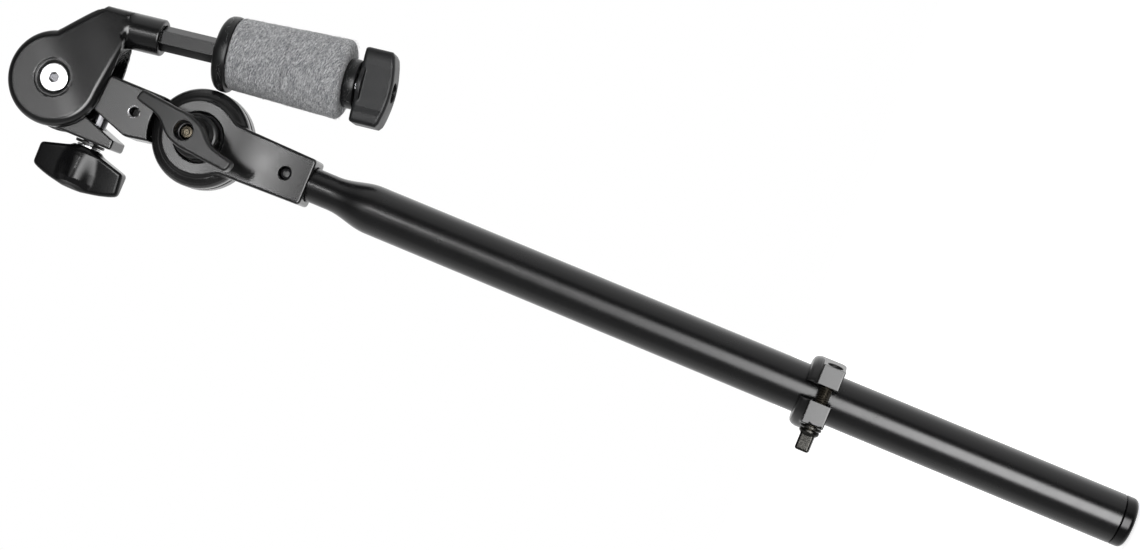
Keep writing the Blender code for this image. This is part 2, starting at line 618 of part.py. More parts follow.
def make_lock_jaw(name, side, lug_low, lug_high, knuckle_gaps, pivot):
    """Half of the collar, +X for side 1 and -X for side -1, with its front lug and hinge knuckles."""
    radius, high = LOCK_RADIUS, LOCK_TOP
    rough = LOCK_BORE - 1
    profile = [(rough, high), (radius - 2.2, high), (radius - 0.8, high - 0.8), (radius, high - 2.6)]
    profile += [(radius, LOCK_BOTTOM + 0.7), (radius - 0.7, LOCK_BOTTOM), (rough, LOCK_BOTTOM)]
    jaw = turned(name, profile, steps=40, ring=True)
    split = 0.45 * side
    lug = soften(box(f"{name}_lug", (lug_low, -19.6, LOCK_BOTTOM), (lug_high, -10.0, LUG_TOP_Z)), 0.6)
    low_x, high_x = min(lug_low, split), max(lug_high, split)
    cheek = box(f"{name}_cheek", (low_x, -14.6, LOCK_BOTTOM + 0.5), (high_x, -9.0, LOCK_TOP - 1.0))
    join(jaw, lug, soften(cheek, 0.8))
    far = -30 * side
    cut(jaw, box(f"{name}_other_half", (min(far, split), -40, 100), (max(far, split), 40, 200)))
    arm = box(f"{name}_hinge_arm", (-3.6, 12.5, LOCK_BOTTOM + 0.2), (3.6, LOCK_HINGE_Y - 0.3, LOCK_TOP - 0.2))
    hinge = (0, LOCK_HINGE_Y, 0)
    barrel = prism(f"{name}_barrel", 3.9, hinge, UP, LOCK_BOTTOM + 0.2, LOCK_TOP - 0.2, sides=20)
    join(jaw, join(arm, barrel))
    cut(jaw, prism(f"{name}_pin_hole", 1.9, hinge, UP, 100, 200, sides=18))
    for low, top in knuckle_gaps:
        cut(jaw, box(f"{name}_gap_at_{low:.0f}", (-5, 11.0, low), (5, 25, top)))
    cut(
        jaw,
        prism(f"{name}_bore", LOCK_BORE, (0, 0, 0), UP, 100, 200, sides=44),
        prism(f"{name}_bolt_hole", 3.5, (0, LOCK_BOLT_Y, LOCK_BOLT_Z), (1, 0, 0), -40, 40, sides=24),
    )
    part(jaw, CAST_BLACK, pivot)


def make_lock(slide_pivot, jaw_pivot, bolt_pivot):
    split_low, split_high = LOCK_BOTTOM + 4.6, LOCK_TOP - 4.6
    gap = GAP / 2
    outer = ((LOCK_BOTTOM - 5, split_low + gap), (split_high - gap, LOCK_TOP + 5))
    inner = ((split_low - gap, split_high + gap),)
    make_lock_jaw("lock_upper_jaw", 1, 4.15, 12.9, outer, slide_pivot)
    make_lock_jaw("lock_lower_jaw", -1, -13.5, -3.4, inner, jaw_pivot)
    pin = prism("lock_hinge_pin", 1.6, (0, LOCK_HINGE_Y, 0), UP, LOCK_BOTTOM - 0.3, LOCK_TOP + 0.3, sides=16)
    part(soften(pin, 0.3, 1), BRIGHT_STEEL, slide_pivot)
    start, axis = (0, LOCK_BOLT_Y, LOCK_BOLT_Z), (-1, 0, 0)
    washer = tube_ring("lock_washer", 4.8, LOCK_BOLT_RADIUS + GAP, 13.8, 15.0, start, axis, steps=28)
    part(washer, BRIGHT_STEEL, bolt_pivot)
    shank = [(0, 17.2), (3.8, 17.2), (4.4, 16.6), (4.4, 15.3), (LOCK_BOLT_RADIUS, 15.3)]
    shank += [(LOCK_BOLT_RADIUS, -11.6), (LOCK_BOLT_RADIUS - 0.7, -12.3), (0, -12.3)]
    bolt = turned("lock_key_bolt", shank, start, axis, steps=24)
    head = prism("key_head", 3.2 * math.sqrt(2), start, axis, 16.0, 25.0, sides=4, spin=math.pi / 4)
    part(join(bolt, soften(head, 0.7)), BRIGHT_STEEL, bolt_pivot)


clear_scene()
PARTS = new_collection("cymbal_boom_arm")
CUTTERS = new_collection("cutters")
joint_axis = pivot_at("boom_joint_axis", (0, 0, JOINT_Z))
lever_axis = pivot_at("lever_axis", (0, -20, JOINT_Z), joint_axis)
tilt_axis = pivot_at("tilter_axis", (0, 0, HUB_Z), joint_axis)
wing_axis = pivot_at("tilt_wing_axis", (-30, 0, TILT_BOLT_Z), joint_axis)
felt_axis = pivot_at("upper_felt_axis", on_post(FELT_JOIN), tilt_axis)
nut_axis = pivot_at("nut_slide_axis", on_post(NUT_BASE), tilt_axis)
nut_turn_axis = pivot_at("nut_turn_axis", on_post(NUT_SHOULDER), nut_axis)
lock_axis = pivot_at("lock_slide_axis", (0, 0, LOCK_BOTTOM))
jaw_axis = pivot_at("lock_hinge_axis", (0, LOCK_HINGE_Y, LOCK_BOTTOM), lock_axis)
key_axis = pivot_at("key_bolt_axis", (0, LOCK_BOLT_Y, LOCK_BOLT_Z), lock_axis)

make_tube()
make_plug()
make_bracket()
make_block(joint_axis)
make_joint_hardware(joint_axis, lever_axis)
make_tilt_bolt(wing_axis, joint_axis)
make_head(tilt_axis)
make_hub_hardware(tilt_axis)
make_post(tilt_axis)
make_felt("lower_felt", CUP_FRONT + GAP, FELT_JOIN - GAP / 2, 17.2, 0.7, tilt_axis)
make_felt("upper_felt", FELT_JOIN + GAP / 2, FELT_TOP, 17.8, 1.0, felt_axis)
make_wing_nut(nut_axis, nut_turn_axis)
make_lock(lock_axis, jaw_axis, key_axis)
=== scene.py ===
import math

import bmesh
import bpy
import numpy as np
from mathutils import Matrix, Vector


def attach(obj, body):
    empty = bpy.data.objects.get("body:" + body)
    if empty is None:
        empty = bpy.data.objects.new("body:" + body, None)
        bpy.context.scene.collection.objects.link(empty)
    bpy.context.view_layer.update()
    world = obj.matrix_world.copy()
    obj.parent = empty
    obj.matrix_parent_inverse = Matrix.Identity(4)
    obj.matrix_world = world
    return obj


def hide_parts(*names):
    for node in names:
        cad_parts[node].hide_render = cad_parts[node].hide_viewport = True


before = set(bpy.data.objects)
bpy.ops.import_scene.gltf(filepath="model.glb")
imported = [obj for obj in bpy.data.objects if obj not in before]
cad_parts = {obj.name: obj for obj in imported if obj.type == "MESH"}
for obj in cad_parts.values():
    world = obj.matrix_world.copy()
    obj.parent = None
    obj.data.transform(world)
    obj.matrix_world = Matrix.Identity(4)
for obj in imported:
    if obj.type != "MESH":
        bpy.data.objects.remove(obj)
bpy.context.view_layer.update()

# Places and sizes in this file are in millimetres, in the CAD's frame, until a mesh is made in metres.
MM = 0.001
TUBE = 11.1
PIN_Z = 395.4
JOINT_Z = 437.7
DISC_GAP = 23.2
JOINT_HOLE = 3.35
HUB_Z = 507.0
TILT_BOLT_Z = HUB_Z - 22.3
POST_START = np.array([35.1, 0.0, 472.8])
POST_LEAN = math.radians(8.6)
POST_AXIS = np.array([math.sin(POST_LEAN), 0.0, -math.cos(POST_LEAN)])
POST_SIDE = np.array([math.cos(POST_LEAN), 0.0, math.sin(POST_LEAN)])
LOCK_BOTTOM = 136.2
LOCK_TOP = 150.6
LOCK_BOLT_Y = -15.6
LOCK_BOLT_Z = 141.1
LOCK_HINGE_Y = 17.6
SHARP = math.radians(38)


# Shapes as signed distances. Each takes arrays of coordinates and gives the distance to its surface, in
# millimetres, negative inside.


def length(*parts):
    return np.sqrt(sum(part * part for part in parts))


def polygon(x, y, points):
    """Distance to a closed outline."""
    nearest = np.full(np.broadcast(x, y).shape, 1e9)
    inside = np.zeros(nearest.shape, bool)
    for (ax, ay), (bx, by) in zip(points, points[1:] + points[:1]):
        ex, ey = bx - ax, by - ay
        wx, wy = x - ax, y - ay
        along = np.clip((wx * ex + wy * ey) / (ex * ex + ey * ey + 1e-12), 0, 1)
        nearest = np.minimum(nearest, (wx - ex * along) ** 2 + (wy - ey * along) ** 2)
        if abs(ey) > 1e-9:
            inside ^= (y >= min(ay, by)) & (y < max(ay, by)) & (x < ax + wy * ex / ey)
    return np.where(inside, -1, 1) * np.sqrt(nearest)


def slab(flat, height, low, high, edge=0.0):
    """A flat shape carried between two heights, with the edges of its faces rounded."""
    a = flat + edge
    b = np.abs(height - (low + high) / 2) - (high - low) / 2 + edge
    return np.minimum(np.maximum(a, b), 0) + length(np.maximum(a, 0), np.maximum(b, 0)) - edge


def round_box(x, y, z, low, high, edge):
    """A box between two corners, with its edges rounded."""
    parts = []
    for value, a, b in zip((x, y, z), low, high):
        parts.append(np.abs(value - (a + b) / 2) - (b - a) / 2 + edge)
    outside = length(*[np.maximum(part, 0) for part in parts])
    inside = np.minimum(np.maximum(np.maximum(parts[0], parts[1]), parts[2]), 0)
    return outside + inside - edge


def joined(a, b, fillet):
    """Both shapes, with a fillet where they meet."""
    share = np.clip(0.5 + 0.5 * (b - a) / fillet, 0, 1)
    return b + (a - b) * share - fillet * share * (1 - share)


def without(a, b, edge):
    """The first shape less the second, with a softened edge."""
    return -joined(-a, b, edge)


def arc(centre, radius, start, end, steps):
    """Points of an arc between two angles in degrees."""
    angles = [math.radians(start + (end - start) * i / steps) for i in range(steps + 1)]
    return [(centre[0] + radius * math.cos(a), centre[1] + radius * math.sin(a)) for a in angles]


def rounded(corners):
    """An outline whose corners, each (x, y, radius), are rounded."""
    steps = 8
    points = []
    for i, (x, y, radius) in enumerate(corners):
        if not radius:
            points.append((x, y))
            continue
        here = Vector((x, y))
        before = (Vector(corners[i - 1][:2]) - here).normalized()
        after = (Vector(corners[(i + 1) % len(corners)][:2]) - here).normalized()
        reach = radius / math.tan(before.angle(after) / 2)
        start, end = here + before * reach, here + after * reach
        for step in range(steps + 1):
            t = step / steps
            points.append(tuple(start.lerp(here, t).lerp(here.lerp(end, t), t)))
    return points


def spline(points, steps):
    """A smooth closed outline through the points."""
    smooth = []
    count = len(points)
    for i in range(count):
        a, b, c, d = (np.array(points[(i + j) % count], float) for j in (-1, 0, 1, 2))
        for step in range(steps):
            t = step / steps
            spot = 2 * b + (c - a) * t + (2 * a - 5 * b + 4 * c - d) * t * t
            spot = spot + (3 * b - a - 3 * c + d) * t**3
            smooth.append(tuple(spot / 2))
    return smooth


def on_post(x, z):
    """How far points lie along the cymbal post, and how far to its side."""
    dx, dz = x - POST_START[0], z - POST_START[2]
    along = dx * POST_AXIS[0] + dz * POST_AXIS[2]
    return along, dx * POST_SIDE[0] + dz * POST_SIDE[2]


# Meshes


def new_object(name, mesh, look):
    obj = bpy.data.objects.new(name, mesh)
    bpy.context.scene.collection.objects.link(obj)
    mesh.materials.append(look)
    return obj


def from_bmesh(name, bm, look):
    """A new object with the bmesh's mesh. The bmesh is freed."""
    mesh = bpy.data.meshes.new(name)
    bm.to_mesh(mesh)
    bm.free()
    return new_object(name, mesh, look)


def apply_modifiers(obj):
    """Gives the object the mesh that its modifiers make of it."""
    bpy.context.view_layer.update()
    graph = bpy.context.evaluated_depsgraph_get()
    before = obj.data
    obj.data = bpy.data.meshes.new_from_object(obj.evaluated_get(graph))
    obj.modifiers.clear()
    bpy.data.meshes.remove(before)


def shade(mesh):
    """Smooth shading, with sharp edges where the faces turn."""
    mesh.shade_smooth()
    mesh.set_sharp_from_angle(angle=SHARP)


def join_rings(bm, rings):
    """Quads between each ring of corners and the next, with a flat face over both ends."""
    for a, b in zip(rings, rings[1:]):
        for i in range(len(a)):
            j = (i + 1) % len(a)
            bm.faces.new((a[i], a[j], b[j], b[i]))
    bm.faces.new(rings[0][::-1])
    bm.faces.new(rings[-1])


def net(distance, low, cell):
    """Vertices and quads of the zero surface on a grid of distances, a vertex in each cell it crosses."""
    inside = distance < 0
    shape = np.array(distance.shape) - 1
    corners = [(i, j, k) for i in (0, 1) for j in (0, 1) for k in (0, 1)]
    views = {}
    for c in corners:
        views[c] = tuple(slice(c[n], c[n] + shape[n]) for n in range(3))
    count = sum(inside[views[c]].astype(np.int8) for c in corners)
    # The vertex of a cell is the middle of the points where the surface crosses the cell's edges.
    active = (count > 0) & (count < 8)
    index = np.full(active.shape, -1, np.int64)
    index[active] = np.arange(active.sum())
    total = np.zeros((active.sum(), 3))
    hits = np.zeros(active.sum())
    values = {c: distance[views[c]][active] for c in corners}
    for a in corners:
        for n in range(3):
            if a[n]:
                continue
            b = tuple(1 if m == n else a[m] for m in range(3))
            crossed = (values[a] < 0) != (values[b] < 0)
            t = values[a][crossed] / (values[a][crossed] - values[b][crossed])
            spot = np.repeat(np.array([a], float), crossed.sum(), 0)
            spot[:, n] += t
            total[crossed] += spot
            hits[crossed] += 1
    verts = np.argwhere(active) + total / hits[:, None]
    # The four cells round a grid edge that crosses the surface make a quad.
    quads = []
    for n in range(3):
        u, v = [(1, 2), (2, 0), (0, 1)][n]
        first = [slice(1, -1)] * 3
        first[n] = slice(0, -1)
        second = list(first)
        second[n] = slice(1, None)
        start, end = inside[tuple(first)], inside[tuple(second)]
        at = np.argwhere(start != end)
        leaving = start[start != end]
        cells = []
        for du, dv in ((0, 0), (1, 0), (1, 1), (0, 1)):
            spot = at.copy()
            spot[:, u] += du
            spot[:, v] += dv
            cells.append(index[tuple(spot.T)])
        made = np.stack(cells, 1)
        made[~leaving] = made[~leaving][:, ::-1]
        quads.append(made)
    return verts * cell + low, np.concatenate(quads)


def settled(shape, points):
    """The points moved onto the shape's surface, and the surface's normals there."""
    step, longest_move = 0.03, 0.3
    for _ in range(3):
        x, y, z = points.T
        here = shape(x, y, z)
        slope = np.stack(
            [
                shape(x + step, y, z) - shape(x - step, y, z),
                shape(x, y + step, z) - shape(x, y - step, z),
                shape(x, y, z + step) - shape(x, y, z - step),
            ],
            1,
        ) / (2 * step)
        size = np.maximum((slope**2).sum(1), 0.25)
        move = np.clip(here / size, -longest_move, longest_move)
        points = points - slope * move[:, None]
    return points, slope / np.maximum(length(*slope.T), 1e-6)[:, None]


def skin(name, look, shape, box, cell, keep=0.45):
    """A mesh of the distance shape inside a box, with the shape's own normals.

    The grid's cells are the given size, and the mesh is then thinned to a share of its faces.
    """
    sides = [np.arange(low - 2 * cell, high + 3 * cell, cell) for low, high in zip(*box)]
    grid = np.meshgrid(*sides, indexing="ij", sparse=True)
    distance = np.broadcast_to(shape(*grid), [len(side) for side in sides])
    verts, quads = net(distance, np.array([side[0] for side in sides]), cell)
    verts, _ = settled(shape, verts)
    mesh = bpy.data.meshes.new(name)
    mesh.from_pydata((verts * MM).tolist(), [], quads.tolist())
    obj = new_object(name, mesh, look)
    obj.modifiers.new("Thin", "DECIMATE").ratio = keep
    apply_modifiers(obj)
    mesh = obj.data
    points = np.zeros(len(mesh.vertices) * 3)
    mesh.vertices.foreach_get("co", points)
    points, normals = settled(shape, points.reshape(-1, 3) / MM)
    mesh.vertices.foreach_set("co", (points * MM).ravel())
    mesh.update()
    mesh.shade_smooth()
    mesh.normals_split_custom_set_from_vertices(normals.tolist())
    return obj


def lathe(name, look, profile, origin, axis, steps=96, wobble=None):
    """A turned mesh from a closed outline of (radius, height) points, with heights along the axis."""
    z = Vector(axis).normalized()
    side = Vector((0, 0, 1)) if abs(z.y) > 0.9 else Vector((0, 1, 0))
    x = side.cross(z).normalized()
    y = z.cross(x)
    bm = bmesh.new()
    rings = []
    for i in range(steps):
        angle = 2 * math.pi * i / steps
        out = x * math.cos(angle) + y * math.sin(angle)
        ring = []
        for radius, height in profile:
            extra = wobble(angle, radius, height) if wobble else 0.0
            spot = Vector(origin) + out * (radius + extra) + z * height
            ring.append(bm.verts.new(spot * MM))
        rings.append(ring)
    count = len(profile)
    for i in range(steps):
        here, there = rings[i], rings[(i + 1) % steps]
        for j in range(count):
            k = (j + 1) % count
            if profile[j][0] < 1e-6 and profile[k][0] < 1e-6:
                continue
            bm.faces.new((here[j], here[k], there[k], there[j]))
    bmesh.ops.remove_doubles(bm, verts=bm.verts, dist=1e-7)
    bmesh.ops.recalc_face_normals(bm, faces=bm.faces)
    obj = from_bmesh(name, bm, look)
    shade(obj.data)
    return obj


def drill(name, radius, at, reach):
    """A cylinder along Y for cutting."""
    bm = bmesh.new()
    turn = Matrix.Translation(Vector(at) * MM) @ Matrix.Rotation(math.pi / 2, 4, "X")
    sizes = {"radius1": radius * MM, "radius2": radius * MM, "depth": 2 * reach * MM}
    bmesh.ops.create_cone(bm, cap_ends=True, segments=40, matrix=turn, **sizes)
    return from_bmesh(name, bm, RECESS_SHADE_PAINT)


def bored(obj, cutter):
    """The object with the cutter taken out of its mesh, and the cutter gone."""
    taking = obj.modifiers.new("Bore", "BOOLEAN")
    taking.operation = "DIFFERENCE"
    taking.solver = "EXACT"
    taking.object = cutter
    apply_modifiers(obj)
    bpy.data.objects.remove(cutter, do_unlink=True)
    shade(obj.data)
    return obj


def recolour(obj, look, test):
    """Gives another material to the faces whose middles pass a test in millimetres."""
    obj.data.materials.append(look)
    slot = len(obj.data.materials) - 1
    for face in obj.data.polygons:
        if test(*(face.center / MM)):
            face.material_index = slot


def set_up(obj, body, *nodes):
    """Rides on a body and stands for CAD nodes, which it hides."""
    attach(obj, body)
    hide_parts(*nodes)


# Materials


class Nodes:
    """Short calls for making the nodes of a tree."""

    def __init__(self, tree):
        self.tree = tree

    def node(self, kind, **inputs):
        node = self.tree.nodes.new(kind)
        for socket, value in inputs.items():
            self.feed(node.inputs[socket.replace("_", " ")], value)
        return node

    def feed(self, socket, value):
        if isinstance(value, bpy.types.NodeSocket):
            self.tree.links.new(value, socket)
        else:
            socket.default_value = value

    def math(self, how, *values):
        node = self.node("ShaderNodeMath")
        node.operation = how
        for socket, value in zip(node.inputs, values):
            self.feed(socket, value)
        return node.outputs[0]

    def mixed_shaders(self, share, first, second):
        node = self.node("ShaderNodeMixShader")
        for socket, value in zip(node.inputs, (share, first, second)):
            self.feed(socket, value)
        return node.outputs[0]


class Look(Nodes):
    """A material with a principled shader, and short calls for what drives it."""

    def __init__(self, name, colour, roughness, metallic=0.0, **sockets):
        self.made = bpy.data.materials.new(name)
        self.made.use_nodes = True
        super().__init__(self.made.node_tree)
        self.shader = self.tree.nodes["Principled BSDF"]
        self.set("Base Color", (*colour, 1))
        self.set("Roughness", roughness)
        self.set("Metallic", metallic)
        for socket, value in sockets.items():
            self.set(socket.replace("_", " "), value)
        self.made.diffuse_color = (*colour, 1)

    def set(self, socket, value):
        self.shader.inputs[socket].default_value = value

    def use(self, socket, value):
        self.feed(self.shader.inputs[socket], value)

    def place(self, stretch=(1, 1, 1), turn=(0, 0, 0), origin=(0, 0, 0)):
        """Object coordinates in millimetres, moved, turned and then stretched."""
        where = self.node("ShaderNodeTexCoord").outputs["Object"]
        shift = tuple(-value for value in origin)
        moved = self.node("ShaderNodeMapping", Vector=where, Location=shift, Scale=(1000, 1000, 1000))
        turned = self.node("ShaderNodeMapping", Vector=moved.outputs["Vector"], Rotation=turn)
        sized = self.node("ShaderNodeMapping", Vector=turned.outputs["Vector"], Scale=stretch)
        return sized.outputs["Vector"]

    def noise(self, vector, scale, detail=2.0, rough=0.5):
        made = self.node("ShaderNodeTexNoise", Vector=vector, Scale=scale, Detail=detail, Roughness=rough)
        return made.outputs["Fac"]

    def span(self, value, low, high, to_low=0.0, to_high=1.0):
        """The value, carried from one range to another and held at its ends."""
        made = self.node("ShaderNodeMapRange", Value=value)
        limits = {"From Min": low, "From Max": high, "To Min": to_low, "To Max": to_high}
        for socket, limit in limits.items():
            made.inputs[socket].default_value = limit
        return made.outputs["Result"]

    def mix(self, share, first, second):
        """A colour between two others."""
        made = self.node("ShaderNodeMix")
        made.data_type = "RGBA"
        for socket, value in ((made.inputs[0], share), (made.inputs[6], first), (made.inputs[7], second)):
            if isinstance(value, tuple) and len(value) == 3:
                value = (*value, 1)
            self.feed(socket, value)
        return made.outputs[2]

    def bump(self, height, depth):
        """Relief of the given depth in millimetres."""
        made = self.node("ShaderNodeBump", Height=height, Strength=1.0, Distance=depth * MM)
        self.use("Normal", made.outputs["Normal"])


def painted(name, colour, lighter, low, high, grain, depth, shine=0.5):
    """Satin black paint: a little orange peel, and a roughness that wanders between two values."""
    look = Look(name, colour, low, Specular_IOR_Level=shine)
    where = look.place()
    cloud = look.noise(where, 0.09, 3.0)
    speck = look.noise(where, 1.0 / grain, 2.0)
    look.use("Base Color", look.mix(look.span(cloud, 0.35, 0.7), colour, lighter))
    slow, quick = look.span(cloud, 0.3, 0.7, low, high), look.span(speck, 0.3, 0.7, -0.008, 0.012)
    look.use("Roughness", look.math("ADD", slow, quick))
    look.bump(look.math("ADD", speck, look.noise(where, 0.35, 1.0)), depth)
    return look.made


def plated(name, colour, roughness, direction=(1, 1, 1)):
    """Plated or turned steel, with fine tool marks across the stretched direction."""
    look = Look(name, colour, roughness, 1.0)
    marks = look.noise(look.place(stretch=direction), 1.6, 4.0)
    cloud = look.noise(look.place(), 0.2, 2.0)
    look.use("Roughness", look.span(marks, 0.3, 0.7, roughness * 0.7, roughness * 1.4))
    darker = tuple(value * 0.78 for value in colour)
    look.use("Base Color", look.mix(look.span(cloud, 0.3, 0.7), darker, colour))
    look.bump(marks, 0.006)
    return look.made


def moulded(name, colour, lighter, low, high, grain, depth, shine=0.5):
    """Moulded plastic: an even fine grain, and a roughness that wanders between two values."""
    look = Look(name, colour, low, Specular_IOR_Level=shine)
    where = look.place()
    speck = look.noise(where, 1.0 / grain, 3.0, 0.6)
    cloud = look.noise(where, 0.12, 2.0)
    look.use("Base Color", look.mix(look.span(speck, 0.35, 0.7), colour, lighter))
    look.use("Roughness", look.span(cloud, 0.3, 0.7, low, high))
    look.bump(speck, depth)
    return look.made


def felted(name):
    """Grey pressed wool: dark and pale fibres, lying mostly round the post."""
    gloss = {"Specular_IOR_Level": 0.2, "Sheen_Weight": 0.25, "Sheen_Roughness": 0.6}
    look = Look(name, (0.3, 0.3, 0.31), 0.95, **gloss)
    lean = (0, -POST_LEAN, 0)
    start = tuple(POST_START * MM)
    long = look.noise(look.place((0.24, 0.24, 2.6), lean, start), 1.0, 6.0, 0.74)
    slanted = look.noise(look.place((0.45, 0.45, 3.4), (0.22, -POST_LEAN, 0.15), start), 1.0, 5.0, 0.7)
    fine = look.noise(look.place((0.9, 0.9, 4.8), (-0.3, -POST_LEAN, 0.1), start), 1.0, 4.0, 0.7)
    cloud = look.noise(look.place((0.22, 0.22, 0.5), lean, start), 1.0, 3.0, 0.6)
    grey = look.mix(look.span(long, 0.44, 0.56), (0.33, 0.335, 0.35), (0.7, 0.705, 0.71))
    fibres = [
        (slanted, 0.51, 0.57, 0.85, (0.94, 0.945, 0.95)),
        (slanted, 0.485, 0.42, 0.85, (0.12, 0.125, 0.15)),
        (fine, 0.52, 0.58, 0.8, (0.16, 0.165, 0.18)),
        (fine, 0.48, 0.42, 0.75, (0.82, 0.825, 0.83)),
        (cloud, 0.5, 0.62, 0.4, (0.26, 0.265, 0.29)),
    ]
    for noise, start_at, full_at, most, colour in fibres:
        grey = look.mix(look.span(noise, start_at, full_at, 0, most), grey, colour)
    look.use("Base Color", grey)
    long_fibres = look.math("ADD", long, slanted)
    look.bump(look.math("ADD", long_fibres, look.math("MULTIPLY", fine, 0.6)), 0.16)
    return look.made


TUBE_PAINT = painted("tube_paint", (0.006, 0.006, 0.0065), (0.008, 0.008, 0.0085), 0.24, 0.27, 3.0, 0.0015)
CAST_PAINT = painted("cast_paint", (0.009, 0.009, 0.0093), (0.012, 0.012, 0.0123), 0.2, 0.235, 0.6, 0.0009)
LEVER_PAINT = painted(
    "lever_paint", (0.012, 0.012, 0.0123), (0.015, 0.015, 0.0153), 0.27, 0.31, 0.5, 0.0015, 0.38
)
POST_PAINT = painted(
    "post_paint", (0.007, 0.007, 0.0073), (0.01, 0.01, 0.0103), 0.24, 0.27, 0.6, 0.0012, 0.34
)
# Near-black, rougher paint for the faces inside bores and holes: painted shade, darker than the casting's
# own paint.
RECESS_SHADE_PAINT = painted("painted_bore_shade", (0.003, 0.003, 0.003), (0.005, 0.005, 0.005), 0.5, 0.6, 0.5, 0.01)
CHROME = plated("bright_plating", (0.86, 0.86, 0.87), 0.12)
ZINC = plated("zinc_plating", (0.62, 0.62, 0.63), 0.24)
WARM_STEEL = plated("warm_steel", (0.1, 0.086, 0.064), 0.3)
SOCKET_STEEL = plated("socket_steel", (0.2, 0.2, 0.21), 0.3)
# Blackened steel for the roll pin, darker than blackening alone: partly the pin's own finish, partly
# painted shade of the hole it sits in.
PIN_STEEL_AND_SHADE = plated("blackened_steel_and_hole_shade", (0.008, 0.008, 0.0085), 0.36)
KEY_STEEL = plated("key_steel", (0.04, 0.039, 0.036), 0.3)
THREAD_STEEL = plated("thread_steel", (0.05, 0.044, 0.034), 0.36)
BARE_CAST = plated("bare_cast", (0.6, 0.6, 0.61), 0.3)
ALLOY = plated("machined_alloy", (0.7, 0.7, 0.71), 0.24, (1, 0.1, 1))
PLASTIC = moulded(
    "gloss_moulding", (0.005, 0.005, 0.0055), (0.007, 0.007, 0.0075), 0.2, 0.24, 2.0, 0.0006, 0.28
)
CHARCOAL = moulded(
    "matt_moulding", (0.013, 0.0135, 0.0145), (0.019, 0.0195, 0.0205), 0.4, 0.48, 0.4, 0.008, 0.38
)
CUP_PLASTIC = moulded(
    "cup_moulding", (0.01, 0.0105, 0.011), (0.014, 0.0145, 0.015), 0.34, 0.42, 0.4, 0.01, 0.34
)
FIBRE_SHEET = moulded("fibre_sheet", (0.1, 0.065, 0.04), (0.16, 0.11, 0.07), 0.7, 0.85, 0.6, 0.05)
WOOL = felted("wool_felt")


# Tube and plug


def make_tube():
    neck = 7.8
    swage = []
    for i in range(33):
        t = i / 32
        ease = (1 - math.cos(math.pi * t)) / 2
        swage.append((neck + (TUBE - neck) * ease, 374.0 - 20.0 * t))
    profile = [(6.3, 401.0), (7.6, 401.0), (neck, 400.8), *swage]
    profile += [(TUBE, 300.0), (TUBE, 200.0), (TUBE, 100.0), (TUBE, 6.1), (TUBE - 0.3, 5.8)]
    profile += [(TUBE - 1.6, 5.8), (TUBE - 1.6, 352.0), (6.3, 376.0)]
    tube = lathe("tube_shell", TUBE_PAINT, profile, (0, 0, 0), (0, 0, 1), 128)
    hole = drill("tube_cross_hole", 2.8, (0, 0, PIN_Z), 20)
    set_up(bored(tube, hole), "arm", "post_tube")


def make_plug():
    corner = arc((TUBE - 2.4, 2.4), 2.4, 0, -90, 10)
    profile = [(0, 7), (7.2, 7), (7.2, 20), (8.4, 20.6), (9.2, 20), (9.2, 5.5), (TUBE - 0.3, 5.5)]
    profile += [(TUBE, 5.2), *corner, (7.6, 0), (7.2, 0.3), (0, 0.3)]
    set_up(lathe("tube_plug", PLASTIC, profile, (0, 0, 0), (0, 0, 1)), "arm", "tube_end_plug")


# Bracket and boom joint


def bracket_outline():
    """A socket that widens upwards and runs smoothly into the ring round the joint."""
    foot, straight, ring_radius = 384.2, 385.8, 17.2
    top = JOINT_Z - 3
    points = [(8.9, foot), (9.9, foot + 0.25), (10.5, foot + 0.8)]
    for i in range(41):
        z = straight + (top - straight) * i / 40
        arm = 10.7 + 0.028 * (z - foot)
        ring = math.sqrt(max(ring_radius**2 - (z - JOINT_Z) ** 2, 0))
        points.append(((arm**10 + ring**10) ** 0.1, z))
    start = math.degrees(math.atan2(-3, points[-1][0]))
    over = arc((0, JOINT_Z), ring_radius, start, 180 - start, 60)
    return points[:-1] + over + [(-x, z) for x, z in points[-2::-1]]


BRACKET = bracket_outline()
BRACKET_HALF = 9.5
FRONT_RIM = [(-5, 8.3), (16.8, 8.3), (18.6, 8.0), (20.2, 7.3), (21.4, 6.3), (22.1, 5.2), (22.4, 4.0)]
FRONT_RIM += [(22.4, 1.1), (22.1, 0.8), (-5, 0.8)]


def bracket_shape(x, y, z):
    front, up = -y, z - JOINT_Z
    radius = length(x, up)
    crown = np.clip((z - 407) / 26, -1, 1) ** 2 * (1 - 0.5 * np.clip((z - 420) / 13, 0, 1))
    sunk = y * (1 + crown / BRACKET_HALF)
    body = slab(polygon(x, z, BRACKET), sunk, -BRACKET_HALF, BRACKET_HALF, 1.1)
    body = without(body, slab(radius - DISC_GAP, front, -14, 1.0), 0.3)
    body = joined(body, polygon(radius, front, FRONT_RIM), 1.0)
    body = without(body, slab(radius - 11.0, front, 5.0, 14), 0.9)
    body = without(body, slab(radius - JOINT_HOLE, front, -3, 14), 0.3)
    body = without(body, slab(length(x, y) - 8.1, z, 370, 401.3), 0.8)
    return without(body, slab(length(x, z - PIN_Z) - 2.8, y, -20, 20), 0.5)


def in_ring_bore(x, y, z):
    return length(x, z - JOINT_Z) < 11.15 and -9.0 < y < -4.9


def make_bracket():
    box = (-22.6, -9.6, 384), (22.6, 9.6, 460.3)
    bracket = skin("joint_bracket", CAST_PAINT, bracket_shape, box, 0.5)
    # The faces inside the ring's bore get the near-black paint: painted shade in the bore.
    recolour(bracket, RECESS_SHADE_PAINT, in_ring_bore)
    set_up(bracket, "arm", "tube_bracket")


def make_roll_pin():
    """The rolled pin that holds the bracket on the tube, a little below the faces. Its blackened steel is
    darkened further as painted shade of the hole.
    """
    profile = [(1.5, 6.4), (2.3, 6.4), (2.55, 6.1), (2.55, -6.1), (2.3, -6.4), (1.5, -6.4)]
    pin = lathe("bracket_pin", PIN_STEEL_AND_SHADE, profile, (0, 0, PIN_Z), (0, -1, 0), 48)
    set_up(pin, "arm", "bracket_roll_pin")


